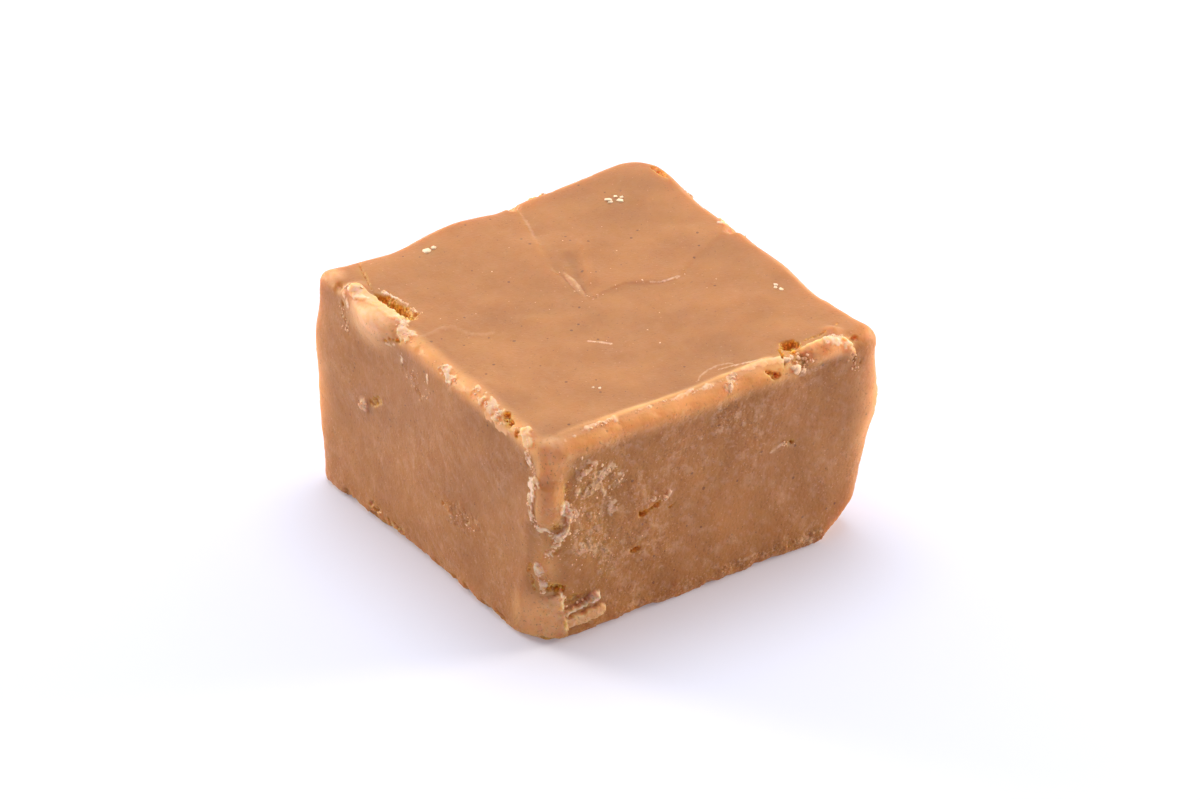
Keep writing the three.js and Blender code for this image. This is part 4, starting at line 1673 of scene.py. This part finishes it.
@dataclass
class Crumbs:
    """Crumbs and sugar crystals that cling to the block, joined as one mesh.

    rings is how often a crumb's ball is divided and lumps how far its corners stray, as a share of
    its width. flatness is the range of its height and stretch of its length, as shares of its width.
    sink is the share of its height under the surface, and tilt is how far it leans, in radians.
    """

    name: str
    sprinkles: tuple[Sprinkle, ...]
    finish: CrumbFinish
    slot: str
    seed: int
    rings: int = 1
    lumps: float = 0.3
    flatness: tuple[float, float] = (0.35, 0.8)
    stretch: tuple[float, float] = (0.85, 1.2)
    sink: float = 0.3
    tilt: float = 0.7

    def build(self, block: bpy.types.Object) -> bpy.types.Object:
        """Scatters the crumbs over the finished block.

        Args:
            block: the finished block, whose vertices are where crumbs can lie.

        Returns:
            The crumbs' object.
        """
        draw = np.random.default_rng(self.seed)
        spots = read_vectors(block.data, "co") / MM
        normals = read_vectors(block.data, "normal")
        bm = bmesh.new()
        layer = bm.verts.layers.float.new("tone")
        for sprinkle in self.sprinkles:
            about = Feature(sprinkle.path, sprinkle.reach, 0.0, Relief.STAIN)
            index = about.near(spots, 0.0)
            distance, _, _ = about.measure(spots[index])
            index = index[distance < sprinkle.reach * draw.uniform(0.2, 1.0, len(index))]
            if not len(index):
                LOG.warning("%s: a sprinkle found no surface at %s", self.name, sprinkle.path[0])
                continue
            for pick in draw.choice(index, sprinkle.count):
                size = sprinkle.smallest + (sprinkle.largest - sprinkle.smallest) * draw.random() ** 2
                tone = draw.uniform(*sprinkle.tone)
                crumb = bmesh.ops.create_icosphere(bm, subdivisions=self.rings, radius=0.5)["verts"]
                for vert in crumb:
                    vert.co *= 1.0 + self.lumps * draw.uniform(-1.0, 1.0)
                    vert[layer] = tone
                place = self.lay(draw, Vector(spots[pick]), Vector(normals[pick]), size)
                bmesh.ops.transform(bm, matrix=place, verts=crumb)
        mesh = bpy.data.meshes.new(self.name)
        bmesh.ops.recalc_face_normals(bm, faces=bm.faces)
        bm.to_mesh(mesh)
        bm.free()
        LOG.info("%s: %d faces", self.name, len(mesh.polygons))
        return place_piece(mesh, self.name, self.finish.make())

    def lay(self, draw: np.random.Generator, spot: Vector, normal: Vector, size: float) -> Matrix:
        """Shapes one crumb and lays it on the surface, sunk a little into it.

        Args:
            draw: the random source.
            spot: the place on the block, in millimetres.
            normal: the outward direction there.
            size: the crumb's width, in millimetres.

        Returns:
            The matrix that takes a ball of width 1 to the crumb, in metres.
        """
        flat = draw.uniform(*self.flatness)
        stretch = draw.uniform(*self.stretch)
        turn = normal.to_track_quat("Z", "Y").to_matrix().to_4x4()
        tilt = Quaternion(Vector(draw.normal(size=3)).normalized(), draw.uniform(0.0, self.tilt))
        spin = Matrix.Rotation(draw.uniform(0.0, 2 * math.pi), 4, "Z")
        shape = Matrix.Diagonal((size * stretch, size / stretch, size * flat, 1.0))
        lift = spot + normal * size * flat * (0.5 - self.sink)
        place = Matrix.Translation(lift) @ tilt.to_matrix().to_4x4() @ turn @ spin @ shape
        return Matrix.Scale(MM, 4) @ place


CRUMB_SPRINKLES = (
    Sprinkle(((-18.0, 13.2, 22.0), (-17.4, 12.2, 22.2)), 0.5, 8, 0.15, 0.4, (0.6, 1.0)),
    Sprinkle(top((-15.7, 11.6), (-15.1, 9.0), (-15.0, 6.2)), 0.25, 26, 0.08, 0.22, (0.5, 1.0)),
    Sprinkle(((-17.6, 5.5, 21.6), (-17.9, 4.3, 21.4), (-18.2, 2.8, 21.1)), 0.5, 14, 0.1, 0.3),
    Sprinkle(((-18.7, 12.8, 18.4), (-18.7, 13.6, 20.2)), 0.8, 16, 0.1, 0.3),
    Sprinkle(((-18.1, -2.2, 20.9), (-18.4, -4.6, 20.5)), 0.4, 8, 0.12, 0.3, (0.5, 1.0)),
    Sprinkle(((-17.9, -7.5, 20.8), (-18.1, -9.2, 20.5), (-18.1, -11.2, 20.4)), 0.45, 18, 0.12, 0.32,
             (0.5, 1.0)),
    Sprinkle(((-18.2, 2.0, 20.9), (-18.2, -7.0, 20.6), (-18.2, -16.0, 19.8)), 0.5, 36, 0.08, 0.22),
    Sprinkle(((-18.6, 1.4, 18.4), (-18.7, 2.8, 17.6), (-18.7, -0.4, 17.6)), 1.3, 24, 0.1, 0.28),
    Sprinkle(((-18.5, -15.8, 19.0), (-18.4, -17.2, 16.8), (-18.7, -16.8, 14.2), (-18.3, -17.5, 12.1)),
             0.4, 30, 0.1, 0.3, (0.5, 1.0)),
    Sprinkle(((-16.5, -18.7, 11.6), (-17.1, -18.5, 10.6), (-17.6, -17.8, 9.3)), 0.4, 22, 0.12, 0.4,
             (0.5, 1.0)),
    Sprinkle(((-18.2, -17.2, 8.2), (-17.8, -17.5, 5.4)), 0.4, 16, 0.12, 0.4),
    Sprinkle(((-15.4, -18.4, 3.3), (-12.9, -18.5, 3.6)), 0.3, 8, 0.12, 0.32, (0.5, 1.0)),
    Sprinkle(((-16.0, -18.2, 5.0), (-16.2, -18.2, 2.6)), 0.25, 10, 0.1, 0.3),
    Sprinkle(((-13.2, -18.6, 15.6),), 3.6, 64, 0.08, 0.34, (0.3, 1.0)),
    Sprinkle(((-13.4, -18.6, 10.0),), 6.0, 84, 0.07, 0.22, (0.3, 1.0)),
    Sprinkle(((-15.6, -18.7, 14.0), (-15.6, -18.7, 11.0)), 1.2, 24, 0.1, 0.38, (0.3, 1.0)),
    Sprinkle(((-6.8, -18.8, 11.7), (-5.2, -18.7, 11.4)), 0.45, 8, 0.12, 0.36, (0.4, 0.9)),
    Sprinkle(((8.6, -18.7, 12.2), (7.8, -18.6, 12.4)), 0.5, 8, 0.1, 0.3),
    Sprinkle(((-13.4, -18.0, 20.5), (-11.0, -17.9, 20.7)), 0.3, 14, 0.12, 0.36, (0.5, 1.0)),
    Sprinkle(((-8.6, -17.9, 20.8), (0.5, -18.0, 20.7)), 0.3, 30, 0.08, 0.24, (0.4, 1.0)),
    Sprinkle(((1.2, -18.5, 20.4), (2.2, -17.9, 20.9)), 0.45, 18, 0.1, 0.26, (0.5, 1.0)),
    Sprinkle(((8.0, -18.2, 20.7), (8.9, -18.2, 20.7)), 0.35, 4, 0.5, 0.75, (0.6, 1.0)),
    Sprinkle(((7.7, -18.7, 20.1), (8.5, -18.7, 20.1)), 0.35, 4, 0.5, 0.8, (0.6, 1.0)),
    Sprinkle(((8.2, -18.9, 19.5), (9.6, -18.9, 19.6)), 0.35, 4, 0.4, 0.7, (0.6, 1.0)),
    Sprinkle(((8.4, -18.5, 20.4), (9.9, -18.6, 20.3)), 1.0, 16, 0.15, 0.4, (0.2, 1.0)),
    Sprinkle(((12.6, -18.1, 21.5), (14.1, -18.3, 21.3)), 0.4, 8, 0.15, 0.45, (0.6, 1.0)),
    Sprinkle(((14.6, -18.9, 19.6), (15.6, -19.0, 17.8)), 0.6, 18, 0.1, 0.28, (0.3, 1.0)),
    Sprinkle(((-18.9, 9.9, 11.6),), 0.7, 8, 0.15, 0.4, (0.4, 1.0)),
    Sprinkle(((-19.0, -4.0, 7.8), (-19.0, -8.8, 7.4)), 0.9, 12, 0.1, 0.28),
    Sprinkle(((18.8, -14.0, 20.8), (18.7, -2.0, 21.4), (18.8, 12.0, 22.0)), 0.4, 60, 0.1, 0.34),
    Sprinkle(((-14.0, 18.8, 21.2), (0.0, 18.8, 21.7), (14.0, 19.0, 22.3)), 0.4, 60, 0.1, 0.34),
    Sprinkle(((-6.0, 19.2, 12.0),), 3.0, 40, 0.1, 0.34, (0.1, 0.9)),
    Sprinkle(((19.3, 4.0, 9.5),), 3.2, 40, 0.1, 0.34, (0.1, 0.9)),
)

FLECK_SPRINKLES = (
    Sprinkle(top((11.0, 13.1), (11.9, 12.6)), 0.8, 6, 0.45, 0.8, (0.8, 1.0)),
    Sprinkle(top((-8.6, 15.3), (-7.2, 14.9)), 0.35, 5, 0.5, 0.9, (0.8, 1.0)),
    Sprinkle(top((15.0, -7.1), (15.6, -8.7)), 0.6, 4, 0.45, 0.7, (0.8, 1.0)),
    Sprinkle(top((-8.9, -12.9),), 0.7, 2, 0.3, 0.4, (0.8, 1.0)),
    Sprinkle(top((0.0, 0.0),), 16.0, 36, 0.08, 0.2, (0.3, 0.9)),
)


# ---------------------------------------------------------------------------------------------------------
# Studio
# ---------------------------------------------------------------------------------------------------------


@dataclass(frozen=True)
class SoftLamp:
    """A round soft box, aimed at the block: its place about the block, its size, power and tint."""

    name: str
    azimuth: float
    elevation: float
    distance: float
    size: float
    watts: float
    tint: str


@dataclass
class Studio:
    """A white card under soft light, and the camera. Lengths are in metres and angles in degrees.

    sky_rise is how high the brightest part of the surround is, and sky_span runs from where it
    starts to brighten to where it is brightest, as cosines of the angle from that part.
    """

    azimuth: float = -35.8
    elevation: float = 30.1
    roll: float = 0.63
    distance: float = 0.3697
    lens_mm: float = 120.0
    sensor_mm: float = 36.0
    clip_start: float = 0.01
    aim_offset: Point = (0.0006, -0.0001, -0.0012)
    floor_finish: FloorFinish = FloorFinish()
    floor_size: float = 6.0
    floor_gap: float = 0.00003
    sky: str = "#f3f3ff"
    sky_rise: float = 10.0
    sky_span: tuple[float, float] = (-0.3, 0.8)
    sky_ahead: float = 0.1
    sky_behind: float = 1.15
    lamps: tuple[SoftLamp, ...] = (
        SoftLamp("overhead_box", 150.0, 76.0, 0.5, 0.4, 1.56, "#ecf8ff"),
        SoftLamp("back_left_box", -156.0, 16.0, 0.4, 0.16, 1.2, "#fff0da"),
        SoftLamp("back_right_box", 71.0, 16.0, 0.4, 0.16, 1.2, "#ffeed6"),
        SoftLamp("left_fill", -112.0, 26.0, 0.6, 0.4, 0.07, "#ffeed8"),
        SoftLamp("right_fill", 56.0, 22.0, 0.6, 0.4, 0.15, "#ffdcb4"),
    )

    @staticmethod
    def outward(azimuth: float, elevation: float) -> Vector:
        """The direction from the block towards a place given by its angles, azimuth 0 being -Y."""
        a, e = math.radians(azimuth), math.radians(elevation)
        return Vector((math.sin(a) * math.cos(e), -math.cos(a) * math.cos(e), math.sin(e)))

    def build(self) -> None:
        """Sets up the floor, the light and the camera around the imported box."""
        low, high = (Vector(corner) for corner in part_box(NODE))
        middle = (low + high) / 2
        self.add_floor(low.z)
        self.add_sky()
        for lamp in self.lamps:
            self.add_lamp(lamp, middle)
        self.add_camera(middle + Vector(self.aim_offset))
        bpy.context.scene.view_settings.view_transform = "Standard"

    def add_floor(self, height: float) -> None:
        """Lays a wide white card just under the block.

        Args:
            height: the height of the block's base.
        """
        bm = bmesh.new()
        bmesh.ops.create_grid(bm, x_segments=1, y_segments=1, size=self.floor_size / 2)
        bmesh.ops.translate(bm, vec=(0.0, 0.0, height - self.floor_gap), verts=bm.verts)
        mesh = bpy.data.meshes.new("floor")
        bm.to_mesh(mesh)
        bm.free()
        mesh.materials.append(self.floor_finish.make())
        floor = bpy.data.objects.new("floor", mesh)
        bpy.context.scene.collection.objects.link(floor)

    def add_sky(self) -> None:
        """Hangs a pale surround, brighter behind the block than in front of it."""
        world = bpy.data.worlds.new("studio")
        world.use_nodes = True
        tree = world.node_tree
        tree.nodes.clear()
        way = add_node(tree, "TexCoord").outputs["Generated"]
        behind = add_node(tree, "VectorMath", {"operation": "DOT_PRODUCT"}, input_0=way,
                          input_1=self.outward(self.azimuth + 180.0, self.sky_rise))
        start, end = self.sky_span
        strength = add_node(tree, "MapRange", {"interpolation_type": "SMOOTHSTEP"},
                            Value=behind.outputs["Value"], From_Min=start, From_Max=end,
                            To_Min=self.sky_ahead, To_Max=self.sky_behind)
        background = add_node(tree, "Background", Color=linear(self.sky),
                              Strength=strength.outputs["Result"])
        add_node(tree, "OutputWorld", Surface=background.outputs["Background"])
        bpy.context.scene.world = world

    def add_lamp(self, lamp: SoftLamp, middle: Vector) -> None:
        """Hangs one soft box, turned towards the block's middle.

        Args:
            lamp: the soft box.
            middle: the block's middle.
        """
        light = bpy.data.lights.new(lamp.name, "AREA")
        light.shape = "DISK"
        light.size = lamp.size
        light.energy = lamp.watts
        light.color = linear(lamp.tint)[:3]
        out = self.outward(lamp.azimuth, lamp.elevation)
        box = bpy.data.objects.new(lamp.name, light)
        box.location = middle + out * lamp.distance
        box.rotation_euler = out.to_track_quat("Z", "Y").to_euler()
        bpy.context.scene.collection.objects.link(box)

    def add_camera(self, aim: Vector) -> None:
        """Sets up the camera, rolled a little about its own axis.

        Args:
            aim: the place that it looks at.
        """
        camera = bpy.data.objects.new("camera", bpy.data.cameras.new("camera"))
        camera.data.lens = self.lens_mm
        camera.data.sensor_width = self.sensor_mm
        camera.data.clip_start = self.clip_start
        out = self.outward(self.azimuth, self.elevation)
        upright = out.to_track_quat("Z", "Y")
        camera.location = aim + out * self.distance
        camera.rotation_euler = (upright @ Quaternion((0, 0, 1), math.radians(self.roll))).to_euler()
        bpy.context.scene.collection.objects.link(camera)
        bpy.context.scene.camera = camera


def main() -> None:
    """Builds every piece in order."""
    logging.basicConfig(level=logging.INFO, format="%(name)s: %(message)s", force=True)
    Studio().build()
    block = FudgeBlock().build()
    crumbs = Crumbs("edge_crumbs", CRUMB_SPRINKLES, CrumbFinish(), "pale_crumb", seed=11)
    flecks = Crumbs(
        "sugar_flecks", FLECK_SPRINKLES,
        CrumbFinish("sugar_crystal", ("#f4cc98", "#ffe6c0"), 0.4), "sugar_crystal", seed=12,
        flatness=(0.08, 0.14), sink=0.42, tilt=0.06,
    )
    for piece in (crumbs, flecks):
        piece.build(block)


if __name__ == "__main__":
    main()
